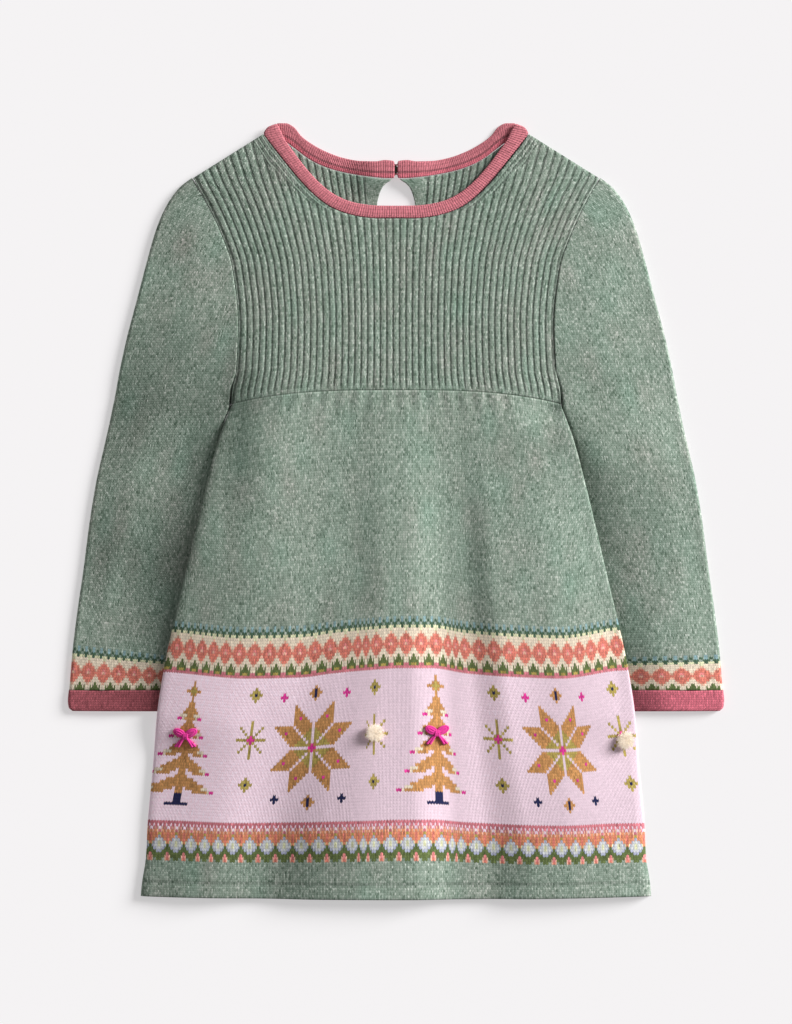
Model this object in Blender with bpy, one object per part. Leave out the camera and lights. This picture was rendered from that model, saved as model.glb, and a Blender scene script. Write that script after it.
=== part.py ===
"""Child's knitted sweater dress, laid flat on its back: a solid for each knitted piece.

X runs to the right, +Y towards the neck and +Z up from the surface it lies on. Every size below
is in millimetres. The walls come from surfaces worked out from the tables, the back panels lie on
the surface, the front panels lie on them, and the sides of the skirt ride over the sleeves.
"""
import math
from collections import namedtuple

import bmesh
import bpy
from mathutils import Vector

MM = 0.001

# walls, seams and raised work
SEAM = 0.3
PLAIN_WALL = 1.8
SLEEVE_WALL = 1.6
CUFF_WALL = 1.7
RIB_BASE = 1.3
RIB_HEIGHT = 0.8
BACK_RIB_BASE = 1.3
BACK_RIB_HEIGHT = 0.7
EDGE_ROUND = 2.4
HEM_STEP = 0.4

# ribs of the yokes: share of the half left plain beside each armhole, and the ribs between
YOKE_STRIP = 0.05
FRONT_RIBS = 36
BACK_RIBS_HALF = 14
RIB_SHOULDER = 0.24

# gathers under the yoke
GATHERS = 16
GATHER_HEIGHT = 0.55
GATHER_FADE = 26.0

# the skirt's sides over the sleeves
SLEEVE_TUCK_HEIGHT = 4.0
TUCK_RAMP = 22.0

# back of the neck
NECK_LIFT = 3.1
NECK_BAND_WALL = 2.0
BACK_BAND_WALL = 1.9

Side = namedtuple("Side", "y half")
ARMHOLE = [
    Side(241.4, 141.3),
    Side(213.4, 129.6),
    Side(199.4, 121.9),
    Side(177.6, 111.7),
    Side(156.5, 104.6),
    Side(120.6, 100.9),
    Side(91.8, 102.0),
    Side(76.5, 105.0),
    Side(60.0, 106.0),
]
SKIRT_SIDE = [
    Side(80.0, 101.0),
    Side(68.8, 105.2),
    Side(42.6, 114.4),
    Side(15.0, 121.6),
    Side(-20.2, 130.0),
    Side(-49.0, 136.7),
    Side(-78.4, 143.7),
    Side(-98.9, 147.9),
    Side(-127.0, 152.3),
    Side(-165.4, 155.6),
    Side(-200.0, 158.8),
    Side(-219.8, 159.8),
    Side(-239.7, 162.7),
    Side(-250.0, 163.4),
]

# soft upright folds of the front skirt: where each ridge runs, how wide it is and how high
Fold = namedtuple("Fold", "x_top x_hem width_top width_hem height_top height_hem")
FOLDS = [
    Fold(-84.0, -112.0, 30.0, 44.0, 0.9, 2.7),
    Fold(-30.0, -58.0, 22.0, 26.0, 0.5, 1.2),
    Fold(2.0, 1.0, 30.0, 36.0, 1.1, 3.3),
    Fold(38.0, 52.0, 16.0, 22.0, 0.3, 0.7),
    Fold(70.0, 106.0, 30.0, 46.0, 0.9, 2.8),
]

# one half of the neckline: outer and inner edge of the front band
Band = namedtuple("Band", "out_x out_y in_x in_y")
FRONT_BAND = [
    Band(0.0, 187.8, 0.0, 195.8),
    Band(12.4, 187.7, 11.6, 195.9),
    Band(23.0, 188.7, 21.0, 196.8),
    Band(33.7, 191.4, 30.2, 198.9),
    Band(42.2, 195.1, 37.2, 201.9),
    Band(49.7, 200.4, 43.6, 206.0),
    Band(56.1, 206.3, 49.6, 211.2),
    Band(62.5, 213.2, 55.5, 217.5),
    Band(68.9, 221.0, 61.4, 224.8),
    Band(74.2, 227.7, 66.3, 231.5),
    Band(79.6, 234.6, 71.0, 238.2),
    Band(84.3, 240.9, 74.0, 243.2),
    Band(82.2, 244.6, 76.2, 246.9),
]
BACK_BAND = [
    Band(2.0, 213.2, 2.0, 224.6),
    Band(7.0, 213.3, 7.0, 225.0),
    Band(13.0, 213.8, 13.0, 224.2),
    Band(20.6, 214.8, 22.4, 224.5),
    Band(30.5, 216.6, 33.7, 226.6),
    Band(41.0, 219.2, 45.0, 230.7),
    Band(50.0, 222.6, 54.0, 235.6),
    Band(57.0, 226.6, 60.4, 240.4),
    Band(62.6, 230.8, 65.7, 245.6),
    Band(69.0, 235.6, 70.6, 247.4),
    Band(77.5, 240.4, 76.4, 247.2),
]
SHOULDER_TIP = (129.6, 213.4)
SHOULDER_NECK = (84.9, 241.4)

Key = namedtuple("Key", "y half")
KEYHOLE = [
    Key(216.0, 2.4),
    Key(212.6, 2.4),
    Key(209.0, 7.6),
    Key(202.6, 10.8),
    Key(196.8, 12.1),
    Key(189.0, 12.3),
    Key(182.0, 10.2),
    Key(177.0, 6.2),
    Key(174.0, 0.0),
]

# sections of a sleeve from the shoulder to the cuff: both edges, how far the layers stand apart
Sleeve = namedtuple("Sleeve", "out_x out_y in_x in_y gap puff joined")
SLEEVE = [
    Sleeve(131.9, 213.4, 127.2, 208.6, 0.5, 0.0, False),
    Sleeve(138.3, 207.6, 123.2, 201.2, 0.7, 0.1, False),
    Sleeve(144.6, 199.6, 118.8, 192.2, 0.7, 0.4, False),
    Sleeve(150.0, 189.4, 114.4, 182.6, 0.7, 0.8, False),
    Sleeve(154.6, 177.0, 109.9, 171.6, 0.7, 1.2, False),
    Sleeve(158.7, 162.6, 106.0, 159.4, 0.7, 1.5, False),
    Sleeve(162.9, 146.6, 103.0, 144.4, 0.7, 1.8, False),
    Sleeve(167.4, 129.4, 101.5, 127.6, 0.7, 2.0, False),
    Sleeve(172.0, 112.0, 101.4, 110.0, 0.7, 2.1, False),
    Sleeve(176.6, 91.0, 103.7, 91.6, 0.7, 2.1, False),
    Sleeve(180.2, 71.4, 106.2, 74.2, 0.4, 2.0, True),
    Sleeve(183.0, 58.0, 109.6, 59.0, 0.3, 1.8, True),
    Sleeve(186.4, 43.0, 114.5, 43.6, 0.3, 1.8, True),
    Sleeve(191.6, 20.0, 118.6, 20.0, 0.3, 2.2, True),
    Sleeve(196.2, -8.0, 123.0, -8.0, 0.3, 2.4, True),
    Sleeve(200.0, -37.4, 127.4, -37.4, 0.3, 2.0, True),
    Sleeve(203.6, -62.0, 132.0, -62.0, 0.3, 2.3, True),
    Sleeve(206.6, -86.0, 137.0, -86.0, 0.3, 1.9, True),
    Sleeve(209.0, -113.9, 142.2, -113.9, 0.3, 1.5, True),
]
CUFF = [
    Sleeve(209.3, -114.2, 142.3, -114.2, 0.3, 1.5, True),
    Sleeve(209.9, -120.6, 143.4, -120.6, 0.3, 1.4, True),
    Sleeve(209.2, -125.4, 144.6, -125.6, 0.3, 1.3, True),
    Sleeve(207.0, -127.2, 146.0, -127.4, 0.3, 1.2, True),
]

# pompoms and yarn ties on the pale band
Trim = namedtuple("Trim", "name x y size")
POMPOMS = [
    Trim("pompom_left", -13.4, -141.8, 5.7),
    Trim("pompom_right", 146.5, -146.9, 5.5),
]
YARN_TIES = [
    Trim("yarn_tie_left", -134.4, -143.4, 7.6),
    Trim("yarn_tie_right", 26.2, -141.6, 7.6),
]
POMPOM_CORE = 2.5

Button = namedtuple("Button", "x y radius head shank_radius")
BUTTON = Button(-3.4, 219.0, 4.6, 1.3, 1.1)
LOOP_YARN = 0.5

Finish = namedtuple("Finish", "name colour roughness")
GREEN = Finish("green_wool", (0.223, 0.330, 0.262), 0.95)
ROSE = Finish("rose_wool", (0.585, 0.127, 0.188), 0.93)
CREAM = Finish("cream_wool", (0.860, 0.790, 0.610), 0.95)
MAGENTA = Finish("magenta_wool", (0.640, 0.020, 0.260), 0.90)
BUTTON_GREEN = Finish("green_plastic", (0.200, 0.290, 0.230), 0.40)


def smooth(t):
    """Ease from 0 to 1 and stay there."""
    t = min(1.0, max(0.0, t))
    return t * t * (3.0 - 2.0 * t)


def table_curve(rows, key, value):
    """Smooth curve through one column of a table, as a function of another column."""
    pairs = sorted((getattr(row, key), getattr(row, value)) for row in rows)
    xs = [pair[0] for pair in pairs]
    ys = [pair[1] for pair in pairs]
    steps = [(ys[i + 1] - ys[i]) / (xs[i + 1] - xs[i]) for i in range(len(xs) - 1)]
    slopes = [steps[0]]
    for before, after in zip(steps, steps[1:]):
        slopes.append(0.0 if before * after <= 0.0 else 2.0 * before * after / (before + after))
    slopes.append(steps[-1])

    def value_at(x):
        if x <= xs[0]:
            return ys[0] + steps[0] * (x - xs[0])
        if x >= xs[-1]:
            return ys[-1] + steps[-1] * (x - xs[-1])
        i = max(k for k in range(len(xs) - 1) if xs[k] <= x)
        h = xs[i + 1] - xs[i]
        t = (x - xs[i]) / h
        a = (1.0 + 2.0 * t) * (1.0 - t) ** 2 * ys[i] + t * (1.0 - t) ** 2 * h * slopes[i]
        b = t * t * (3.0 - 2.0 * t) * ys[i + 1] + t * t * (t - 1.0) * h * slopes[i + 1]
        return a + b

    return value_at


armhole_half = table_curve(ARMHOLE, "y", "half")
skirt_half = table_curve(SKIRT_SIDE, "y", "half")
keyhole_half = table_curve(KEYHOLE, "y", "half")
sleeve_inner = table_curve([row for row in SLEEVE + CUFF[:1] if row.joined], "in_y", "in_x")


def yoke_bottom(x):
    """Seam between yoke and skirt: level in the middle, lower at the underarms."""
    return 77.8 - 8.8 * min(1.0, abs(x) / 105.0) ** 3


def hem(x):
    """Bottom edge of the skirt."""
    return -247.4 + 2.0 * (x / 163.0) ** 2


def line_through(points):
    """Polyline as a function of x, both sides of the middle alike."""
    ordered = sorted(points)

    def height(x):
        x = abs(x)
        for (x0, y0), (x1, y1) in zip(ordered, ordered[1:]):
            if x <= x1:
                return y0 + (y1 - y0) * (x - x0) / (x1 - x0)
        (x0, y0), (x1, y1) = ordered[-2:]
        return y1 + (y1 - y0) * (x - x1) / (x1 - x0)

    return height


def below_band(rows, corner):
    """The yoke's top edge: a seam's width under the band, then along the shoulder."""
    points = []
    for before, row, after in zip([rows[0]] + rows, rows, rows[1:] + [rows[-1]]):
        run = Vector((after.out_x - before.out_x, after.out_y - before.out_y))
        down = Vector((run.y, -run.x)).normalized() * (SEAM + 0.04)
        if row.out_x + down.x < corner[0] - 3.0:
            points.append((max(0.0, row.out_x + down.x), row.out_y + down.y))
    points[0] = (0.0, points[0][1])
    return line_through(points + [corner, SHOULDER_TIP])


front_top = below_band(FRONT_BAND, SHOULDER_NECK)
back_top_edge = below_band(BACK_BAND, SHOULDER_NECK)


def shoulder_distance(x, y):
    """How far inside the shoulder line a point lies."""
    run = Vector(SHOULDER_TIP) - Vector(SHOULDER_NECK)
    normal = Vector((run.y, -run.x)).normalized()
    return (Vector((abs(x), y)) - Vector(SHOULDER_NECK)).dot(normal)


def edge_drop(distance, radius=EDGE_ROUND):
    """Share of a wall's thickness lost to its rounded edge."""
    if distance >= radius:
        return 0.0
    return 1.0 - math.sqrt(max(0.0, 1.0 - (1.0 - max(0.0, distance) / radius) ** 2))


def tuck_lift(x, y):
    """Height of the skirt's sides over the sleeves that lie under them."""
    along = smooth((70.0 - y) / 26.0) * smooth((y + 158.0) / 30.0)
    if along == 0.0:
        return 0.0
    inner = sleeve_inner(min(74.0, max(-114.2, y)))
    return SLEEVE_TUCK_HEIGHT * along * smooth((abs(x) - inner + 1.4 + TUCK_RAMP) / TUCK_RAMP)


def neck_lift(x, y):
    """Height of the back neck over its button."""
    return NECK_LIFT * smooth((34.0 - abs(x)) / 22.0) * smooth((y - 198.0) / 14.0)


def skirt_puff(x, y):
    """How far the front skirt stands off the back skirt."""
    down = (yoke_bottom(x) - y) / (yoke_bottom(x) - hem(x))
    height = 0.2 + 0.5 * (1.0 - down)
    for fold in FOLDS:
        centre = fold.x_top + (fold.x_hem - fold.x_top) * down
        width = fold.width_top + (fold.width_hem - fold.width_top) * down
        crest = fold.height_top + (fold.height_hem - fold.height_top) * down ** 0.8
        reach = abs(x - centre) / width
        if reach < 1.0:
            height = max(height, 0.2 + crest * smooth((1.0 - reach) / 0.75))
    return height * smooth((skirt_half(y) - abs(x)) / 16.0) * smooth(down / 0.04 + 0.45)


def yoke_puff(x, y):
    """How far the front yoke stands off the back yoke."""
    inside = min(armhole_half(y) - abs(x), shoulder_distance(x, y))
    return 0.35 + 0.9 * smooth(inside / 40.0)


def back_top(x, y):
    """Top of the tallest rib of the back yoke, or of the back skirt's wall."""
    if y > yoke_bottom(x) - 0.5 * SEAM:
        return BACK_RIB_BASE + BACK_RIB_HEIGHT + neck_lift(x, y)
    return PLAIN_WALL + tuck_lift(x, y)


def front_inside(x, y):
    """Inside face of the front panels."""
    if y > yoke_bottom(x) - 0.5 * SEAM:
        return back_top(x, y) - neck_lift(x, y) + SEAM + yoke_puff(x, y)
    return back_top(x, y) + SEAM + skirt_puff(x, y)


def lerp(a, b, t):
    return a + (b - a) * t


def spaced(start, stop, count):
    return [lerp(start, stop, i / count) for i in range(count + 1)]


class Solid:
    """Faces of one closed wall, welded when it is finished."""

    def __init__(self, name, finish):
        self.name = name
        self.finish = finish
        self.points = []
        self.faces = []

    def add(self, points):
        first = len(self.points)
        self.points.extend(Vector(point) for point in points)
        return list(range(first, len(self.points)))

    def grid(self, rows):
        """A sheet of quads through rows of points."""
        index = [self.add(row) for row in rows]
        for low, high in zip(index, index[1:]):
            for j in range(len(low) - 1):
                self.faces.append((low[j], low[j + 1], high[j + 1], high[j]))

    def rim(self, line_a, line_b):
        """A strip of triangles between two edges that may have different point counts."""
        a = self.add(line_a)
        b = self.add(line_b)
        i = 0
        j = 0
        while i < len(a) - 1 or j < len(b) - 1:
            ahead_a = (i + 1) / (len(a) - 1) if i < len(a) - 1 else 2.0
            ahead_b = (j + 1) / (len(b) - 1) if j < len(b) - 1 else 2.0
            if len(a) != len(b):
                ahead_a = self.share(line_a, i + 1) if i < len(a) - 1 else 2.0
                ahead_b = self.share(line_b, j + 1) if j < len(b) - 1 else 2.0
            if ahead_a <= ahead_b:
                self.faces.append((a[i], a[i + 1], b[j]))
                i += 1
            else:
                self.faces.append((a[i], b[j + 1], b[j]))
                j += 1

    @staticmethod
    def share(line, count):
        """Share of a line's length, in plan, up to one of its points."""
        lengths = [math.dist(p[:2], q[:2]) for p, q in zip(line, line[1:])]
        return sum(lengths[:count]) / max(sum(lengths), 1e-9)

    def fan(self, centre, ring):
        middle = self.add([centre])[0]
        index = self.add(ring)
        for k in range(len(index)):
            self.faces.append((middle, index[k], index[(k + 1) % len(index)]))

    def slab(self, outer, inner):
        """A wall between an outer and an inner sheet, with rims all round."""
        self.grid(outer)
        self.grid(inner)
        self.rim(outer[0], inner[0])
        self.rim(outer[-1], inner[-1])
        self.rim([row[0] for row in outer], [row[0] for row in inner])
        self.rim([row[-1] for row in outer], [row[-1] for row in inner])

    def finish_mesh(self):
        mesh = bpy.data.meshes.new(self.name)
        work = bmesh.new()
        verts = [work.verts.new(point * MM) for point in self.points]
        for face in self.faces:
            corners = [verts[k] for k in face]
            if len({tuple(round(c, 7) for c in v.co) for v in corners}) > 2:
                work.faces.new(corners)
        bmesh.ops.remove_doubles(work, verts=work.verts, dist=1e-6)
        bmesh.ops.dissolve_degenerate(work, edges=work.edges, dist=1e-7)
        bmesh.ops.recalc_face_normals(work, faces=work.faces)
        work.to_mesh(mesh)
        work.free()
        mesh.polygons.foreach_set("use_smooth", [True] * len(mesh.polygons))
        mesh.set_sharp_from_angle(angle=math.radians(52.0))
        mesh.materials.append(material(self.finish))
        thing = bpy.data.objects.new(self.name, mesh)
        bpy.context.scene.collection.objects.link(thing)
        return thing


def material(finish):
    """The finish's Principled material, made once."""
    known = bpy.data.materials.get(finish.name)
    if known:
        return known
    made = bpy.data.materials.new(finish.name)
    made.use_nodes = True
    shader = made.node_tree.nodes["Principled BSDF"]
    shader.inputs["Base Color"].default_value = (*finish.colour, 1.0)
    shader.inputs["Roughness"].default_value = finish.roughness
    shader.inputs["Metallic"].default_value = 0.0
    return made


# ---------------------------------------------------------------------------- yokes


def rib_columns(start, stop, ribs, height):
    """Columns of a ribbed stretch: groove, two shoulders, groove, with each one's height."""
    columns = []
    pitch = (stop - start) / ribs
    for k in range(ribs):
        left = start + k * pitch
        columns.append((left, 0.0))
        columns.append((left + RIB_SHOULDER * pitch, height))
        columns.append((left + (1.0 - RIB_SHOULDER) * pitch, height))
    columns.append((stop, 0.0))
    return columns


def strip_columns(height):
    """Columns of the plain strip beside the left armhole."""
    return [(0.0, height), (0.0035, height), (0.012, height), (YOKE_STRIP - 0.008, height)]


def yoke_point(share, t, top_edge):
    """Plan position on a yoke: share across it, t up its column to the top edge."""

    def across(y):
        half = armhole_half(y)
        return -half + 2.0 * half * share

    low = yoke_bottom(across(77.0))
    bottom = 150.0
    top = 250.0
    for _ in range(40):
        middle = 0.5 * (bottom + top)
        if middle < top_edge(across(middle)):
            bottom = middle
        else:
            top = middle
    if share in (0.0, 1.0):
        bottom = SHOULDER_TIP[1]
    y = lerp(low, bottom, t)
    return across(y), y


FRONT_ROWS = [0.0, 0.14, 0.3, 0.46, 0.62, 0.76, 0.88, 0.972, 1.0]


def front_yoke():
    solid = Solid("front_yoke", GREEN)
    height = RIB_HEIGHT
    left = strip_columns(0.75 * height)
    ribs = rib_columns(YOKE_STRIP, 1.0 - YOKE_STRIP, FRONT_RIBS, height)
    right = [(1.0 - share, high) for share, high in reversed(left)]
    outer = []
    for t in FRONT_ROWS:
        row = []
        for share, high in left + ribs + right:
            x, y = yoke_point(share, t, front_top)
            edge = min(armhole_half(y) - abs(x), shoulder_distance(x, y))
            wall = (RIB_BASE + high) * (1.0 - 0.5 * edge_drop(edge))
            row.append((x, y, front_inside(x, y) + wall))
        outer.append(row)
    shares = spaced(0.0, YOKE_STRIP, 1)[:-1] + spaced(YOKE_STRIP, 1.0 - YOKE_STRIP, FRONT_RIBS)
    inner = []
    for t in FRONT_ROWS:
        row = []
        for share in shares + [1.0]:
            x, y = yoke_point(share, t, front_top)
            row.append((x, y, front_inside(x, y)))
        inner.append(row)
    solid.slab(outer, inner)
    return solid.finish_mesh()


BACK_SPLIT = 4
BACK_ROWS = [0.0, 0.22, 0.44, 0.62, 0.7145, 0.74, 0.79, 0.86, 0.93, 0.975, 1.0]


def back_point(side, place, t):
    """Plan position on one half of the back yoke: place up to 1 in the ribs, 2 at the middle."""
    rib_end = 0.4
    share = min(place, 1.0) * rib_end
    x, y = yoke_point(share, t, back_top_edge)
    if place > 1.0:
        middle_top = back_top_edge(0.0) - 0.35
        y_middle = lerp(yoke_bottom(0.0), middle_top, t)
        x_middle = -keyhole_half(y_middle) if t > BACK_ROWS[BACK_SPLIT] else 0.0
        blend = place - 1.0
        x_top, y_top = yoke_point(share, 1.0, back_top_edge)
        curve = back_top_edge(lerp(x_top, -keyhole_half(middle_top), blend)) - lerp(y_top, middle_top, blend)
        x = lerp(x, x_middle, blend)
        y = lerp(y, y_middle, blend) + (curve - 0.2 * blend) * t ** 4
    return -side * x, y


def back_yoke():
    solid = Solid("back_yoke", GREEN)
    strip = [(share / 0.4, high) for share, high in strip_columns(0.75 * BACK_RIB_HEIGHT)]
    ribs = rib_columns(YOKE_STRIP / 0.4, 1.0, BACK_RIBS_HALF, BACK_RIB_HEIGHT)
    middle = [(place, 0.55 * BACK_RIB_HEIGHT) for place in (1.08, 1.4, 1.7, 2.0)]
    under_places = [0.0, 0.0087, 0.03, YOKE_STRIP / 0.4]
    under_places += spaced(YOKE_STRIP / 0.4, 1.0, BACK_RIBS_HALF)[1:] + [1.08, 1.5, 2.0]
    for side in (-1, 1):
        upper = []
        under = []
        for t in BACK_ROWS:
            row = []
            for place, high in strip + ribs + middle:
                x, y = back_point(side, place, t)
                row.append((x, y, BACK_RIB_BASE + high + neck_lift(x, y)))
            upper.append(row)
            row = []
            for place in under_places:
                x, y = back_point(side, place, t)
                edge = min(armhole_half(y) - abs(x), shoulder_distance(x, y))
                row.append((x, y, neck_lift(x, y) + 0.6 * edge_drop(edge, 1.6)))
            under.append(row)
        solid.grid(upper)
        solid.grid(under)
        solid.rim(upper[0], under[0])
        solid.rim(upper[-1], under[-1])
        solid.rim([row[0] for row in upper], [row[0] for row in under])
        edge_upper = [row[-1] for row in upper[BACK_SPLIT:]]
        edge_under = [row[-1] for row in under[BACK_SPLIT:]]
        solid.rim(edge_upper, edge_under)
    return solid.finish_mesh()


# ---------------------------------------------------------------------------- skirt

INNER_ROWS = [0.0, 0.035, 0.085, 0.15, 0.26, 0.38, 0.5, 0.59, 0.635, 0.68, 0.73, 0.82, 0.91, 1.0]
OUTER_ROWS = [0.0, 0.015, 0.045, 0.08, 0.13, 0.2, 0.29, 0.38, 0.48, 0.58, 0.635, 0.68, 0.73]
OUTER_ROWS += [0.81, 0.9, 0.9655, 0.9695, 1.0]
EDGE_OFFSETS = [0.0, 0.7, 2.4, 7.0, 13.0, 19.0, 26.0]


def skirt_point(offset_or_share, down, gap, inset=0.0):
    """Plan position on the skirt: a column across it and a share of the way down it."""
    kind, value = offset_or_share
    x = 0.0
    y = 0.0
    for _ in range(4):
        half = skirt_half(y) - inset
        if kind == "left":
            x = -half + value
        elif kind == "right":
            x = half - value
        else:
            x = lerp(-half + EDGE_OFFSETS[-1], half - EDGE_OFFSETS[-1], value)
        y = lerp(yoke_bottom(x) - gap, hem(x), down)
    return x, y


def skirt_columns(count):
    left = [("left", offset) for offset in EDGE_OFFSETS]
    middle = [("middle", share) for share in spaced(0.0, 1.0, count)[1:-1]]
    right = [("right", offset) for offset in reversed(EDGE_OFFSETS)]
    return left + middle + right


def gather(column, y):
    """Small gathers where the skirt joins the yoke."""
    kind, share = column
    if kind != "middle":
        return 0.0
    fade = smooth((y - yoke_bottom(0.0) + GATHER_FADE) / GATHER_FADE)
    return GATHER_HEIGHT * fade * math.sin(math.pi * GATHERS * share) ** 2


def front_skirt():
    solid = Solid("front_skirt", GREEN)
    outer = []
    for down in OUTER_ROWS:
        row = []
        for column in skirt_columns(3 * GATHERS):
            x, y = skirt_point(column, down, SEAM)
            edge = skirt_half(y) - abs(x)
            wall = (PLAIN_WALL + gather(column, y)) * (1.0 - 0.5 * edge_drop(edge))
            if down > 0.967:
                wall += HEM_STEP * smooth(edge / 3.0)
            row.append((x, y, front_inside(x, y) + wall))
        outer.append(row)
    inner = []
    for down in INNER_ROWS:
        points = [skirt_point(column, down, SEAM) for column in skirt_columns(18)]
        inner.append([(x, y, front_inside(x, y)) for x, y in points])
    solid.slab(outer, inner)
    return solid.finish_mesh()


def back_skirt():
    solid = Solid("back_skirt", GREEN)
    upper = []
    under = []
    for down in INNER_ROWS:
        points = [skirt_point(column, down, SEAM) for column in skirt_columns(18)]
        upper.append([(x, y, back_top(x, y)) for x, y in points])
        row = []
        for x, y in points:
            edge = skirt_half(y) - abs(x)
            row.append((x, y, tuck_lift(x, y) + 0.6 * edge_drop(edge, 1.6)))
        under.append(row)
    solid.slab(upper, under)
    return solid.finish_mesh()


# ---------------------------------------------------------------------------- sleeves


def sleeve_section(row, side, wall):
    """Outer and inner points of one flattened section, from its inner edge round and back."""
    out = Vector((row.out_x, row.out_y))
    in_x = row.in_x if row.joined else max(row.in_x, armhole_half(row.in_y) + SEAM + 0.3)
    run = Vector((in_x, row.in_y)) - out
    width = run.length
    middle = wall + 0.5 * row.gap
    ends = min(1.9, 0.3 * width)
    offsets = [0.0, 0.25 * ends, ends] + spaced(ends, width - ends, 6)[1:-1]
    offsets += [width - ends, width - 0.25 * ends, width]

    def place(offset, z):
        point = out + run * (offset / width)
        return (side * point.x, point.y, z)

    def puff(offset):
        u = offset / width
        return row.puff * smooth(u / 0.34) * smooth((0.84 - u) / 0.34)

    def inside(offset):
        return offset if row.joined is False else min(offset, width - offset)

    outer = []
    inner = []
    for offset in reversed(offsets):
        drop = edge_drop(min(offset, inside(offset)), ends)
        top = 2.0 * wall + row.gap + puff(offset)
        outer.append(place(offset, lerp(top, middle, drop)))
    low = [offsets[0], offsets[1], offsets[2], offsets[5], offsets[8], offsets[9], offsets[10]]
    for offset in low[1:]:
        drop = edge_drop(min(offset, inside(offset)), ends)
        outer.append(place(offset, middle * drop))
    start = min(wall, 0.32 * width)
    stop = width - (start if row.joined else 0.0)
    shares = spaced(0.0, 1.0, 10)
    for share in reversed(shares):
        offset = lerp(start, stop, share)
        closing = smooth(share / 0.1) * (smooth((1.0 - share) / 0.1) if row.joined else 1.0)
        inner.append(place(offset, middle + closing * (wall + row.gap + puff(offset) - middle)))
    for share in (0.1, 0.3, 0.5, 0.7, 0.9, 1.0):
        closing = smooth(share / 0.1) * (smooth((1.0 - share) / 0.1) if row.joined else 1.0)
        inner.append(place(lerp(start, stop, share), middle + closing * (wall - middle)))
    return outer, inner


def tube(name, finish, rows, side, wall):
    """A flattened knitted tube, open along the rows that are not joined."""
    solid = Solid(name, finish)
    sections = [sleeve_section(row, side, wall) for row in rows]
    outer = [section[0] for section in sections]
    inner = [section[1] for section in sections]
    solid.grid(outer)
    solid.grid(inner)
    solid.rim(outer[0], inner[0])
    solid.rim(outer[-1], inner[-1])
    first_joined = [row.joined for row in rows].index(True)
    if first_joined:
        for end in (0, -1):
            edge_outer = [row[end] for row in outer[:first_joined + 1]]
            edge_inner = [row[end] for row in inner[:first_joined + 1]]
            solid.rim(edge_outer, edge_inner)
    return solid.finish_mesh()


# ---------------------------------------------------------------------------- neckbands


def band_section(row, side, base, wall):
    """A rounded section between the two edges of a band."""
    out = Vector((side * row.out_x, row.out_y))
    run = Vector((side * row.in_x, row.in_y)) - out
    places = [(0.0, 0.0), (0.0, 0.5), (0.06, 0.86), (0.28, 1.0)]
    places += [(0.72, 1.0), (0.94, 0.86), (1.0, 0.5), (1.0, 0.0)]
    section = []
    for share, high in places:
        point = out + run * share
        section.append((point.x, point.y, base(point.x, point.y) + wall * high))
    return section


def band(name, rows_and_sides, base, wall):
    """A band lofted through its sections, closed at both ends."""
    solid = Solid(name, ROSE)
    sections = [band_section(row, side, base, wall) for row, side in rows_and_sides]
    solid.grid([section + section[:1] for section in sections])
    for section in (sections[0], sections[-1]):
        solid.faces.append(tuple(solid.add(section)))
    return solid.finish_mesh()


def front_band_base(x, y):
    return BACK_RIB_BASE + BACK_RIB_HEIGHT + SEAM + 0.35 + 0.15 * smooth((70.0 - abs(x)) / 30.0)


def neckbands():
    rows = [(row, -1) for row in reversed(FRONT_BAND[1:])] + [(row, 1) for row in FRONT_BAND]
    made = [band("neckband_front", rows, front_band_base, NECK_BAND_WALL)]
    for name, side in (("neckband_back_left", -1), ("neckband_back_right", 1)):
        made.append(band(name, [(row, side) for row in BACK_BAND], neck_lift, BACK_BAND_WALL))
    return made


# ---------------------------------------------------------------------------- trims


def pompom(trim):
    """A tied core with locks of yarn that stand out from it."""
    near = [(trim.x + POMPOM_CORE * a, trim.y + POMPOM_CORE * b) for a in (-1, 0, 1) for b in (-1, 0, 1)]
    ground = max(skirt_outside(x, y) for x, y in near)
    centre = Vector((trim.x, trim.y, ground + SEAM + POMPOM_CORE + 0.9))
    ball = bmesh.new()
    bmesh.ops.create_icosphere(ball, subdivisions=2, radius=POMPOM_CORE)
    solid = Solid(trim.name, CREAM)
    for k, face in enumerate(ball.faces):
        root = [centre + vert.co for vert in face.verts]
        way = face.calc_center_median().normalized()
        length = trim.size * (1.0 - 0.07 * ((k * 7) % 5) / 4.0)
        if way.z < -0.05:
            length = min(length, (centre.z - ground - SEAM - 0.15) / -way.z)
        tip = centre + way * length
        spread = [tip + (corner - centre - way * POMPOM_CORE) * 0.85 for corner in root]
        spread = [Vector((p.x, p.y, max(p.z, skirt_outside(p.x, p.y) + SEAM + 0.1))) for p in spread]
        lower = solid.add(root)
        upper = solid.add(spread)
        for a in range(3):
            b = (a + 1) % 3
            solid.faces.append((lower[a], lower[b], upper[b], upper[a]))
        solid.faces.append(tuple(upper))
    ball.free()
    return solid.finish_mesh()


def skirt_outside(x, y):
    """Outside face of the front skirt."""
    return front_inside(x, y) + PLAIN_WALL


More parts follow.
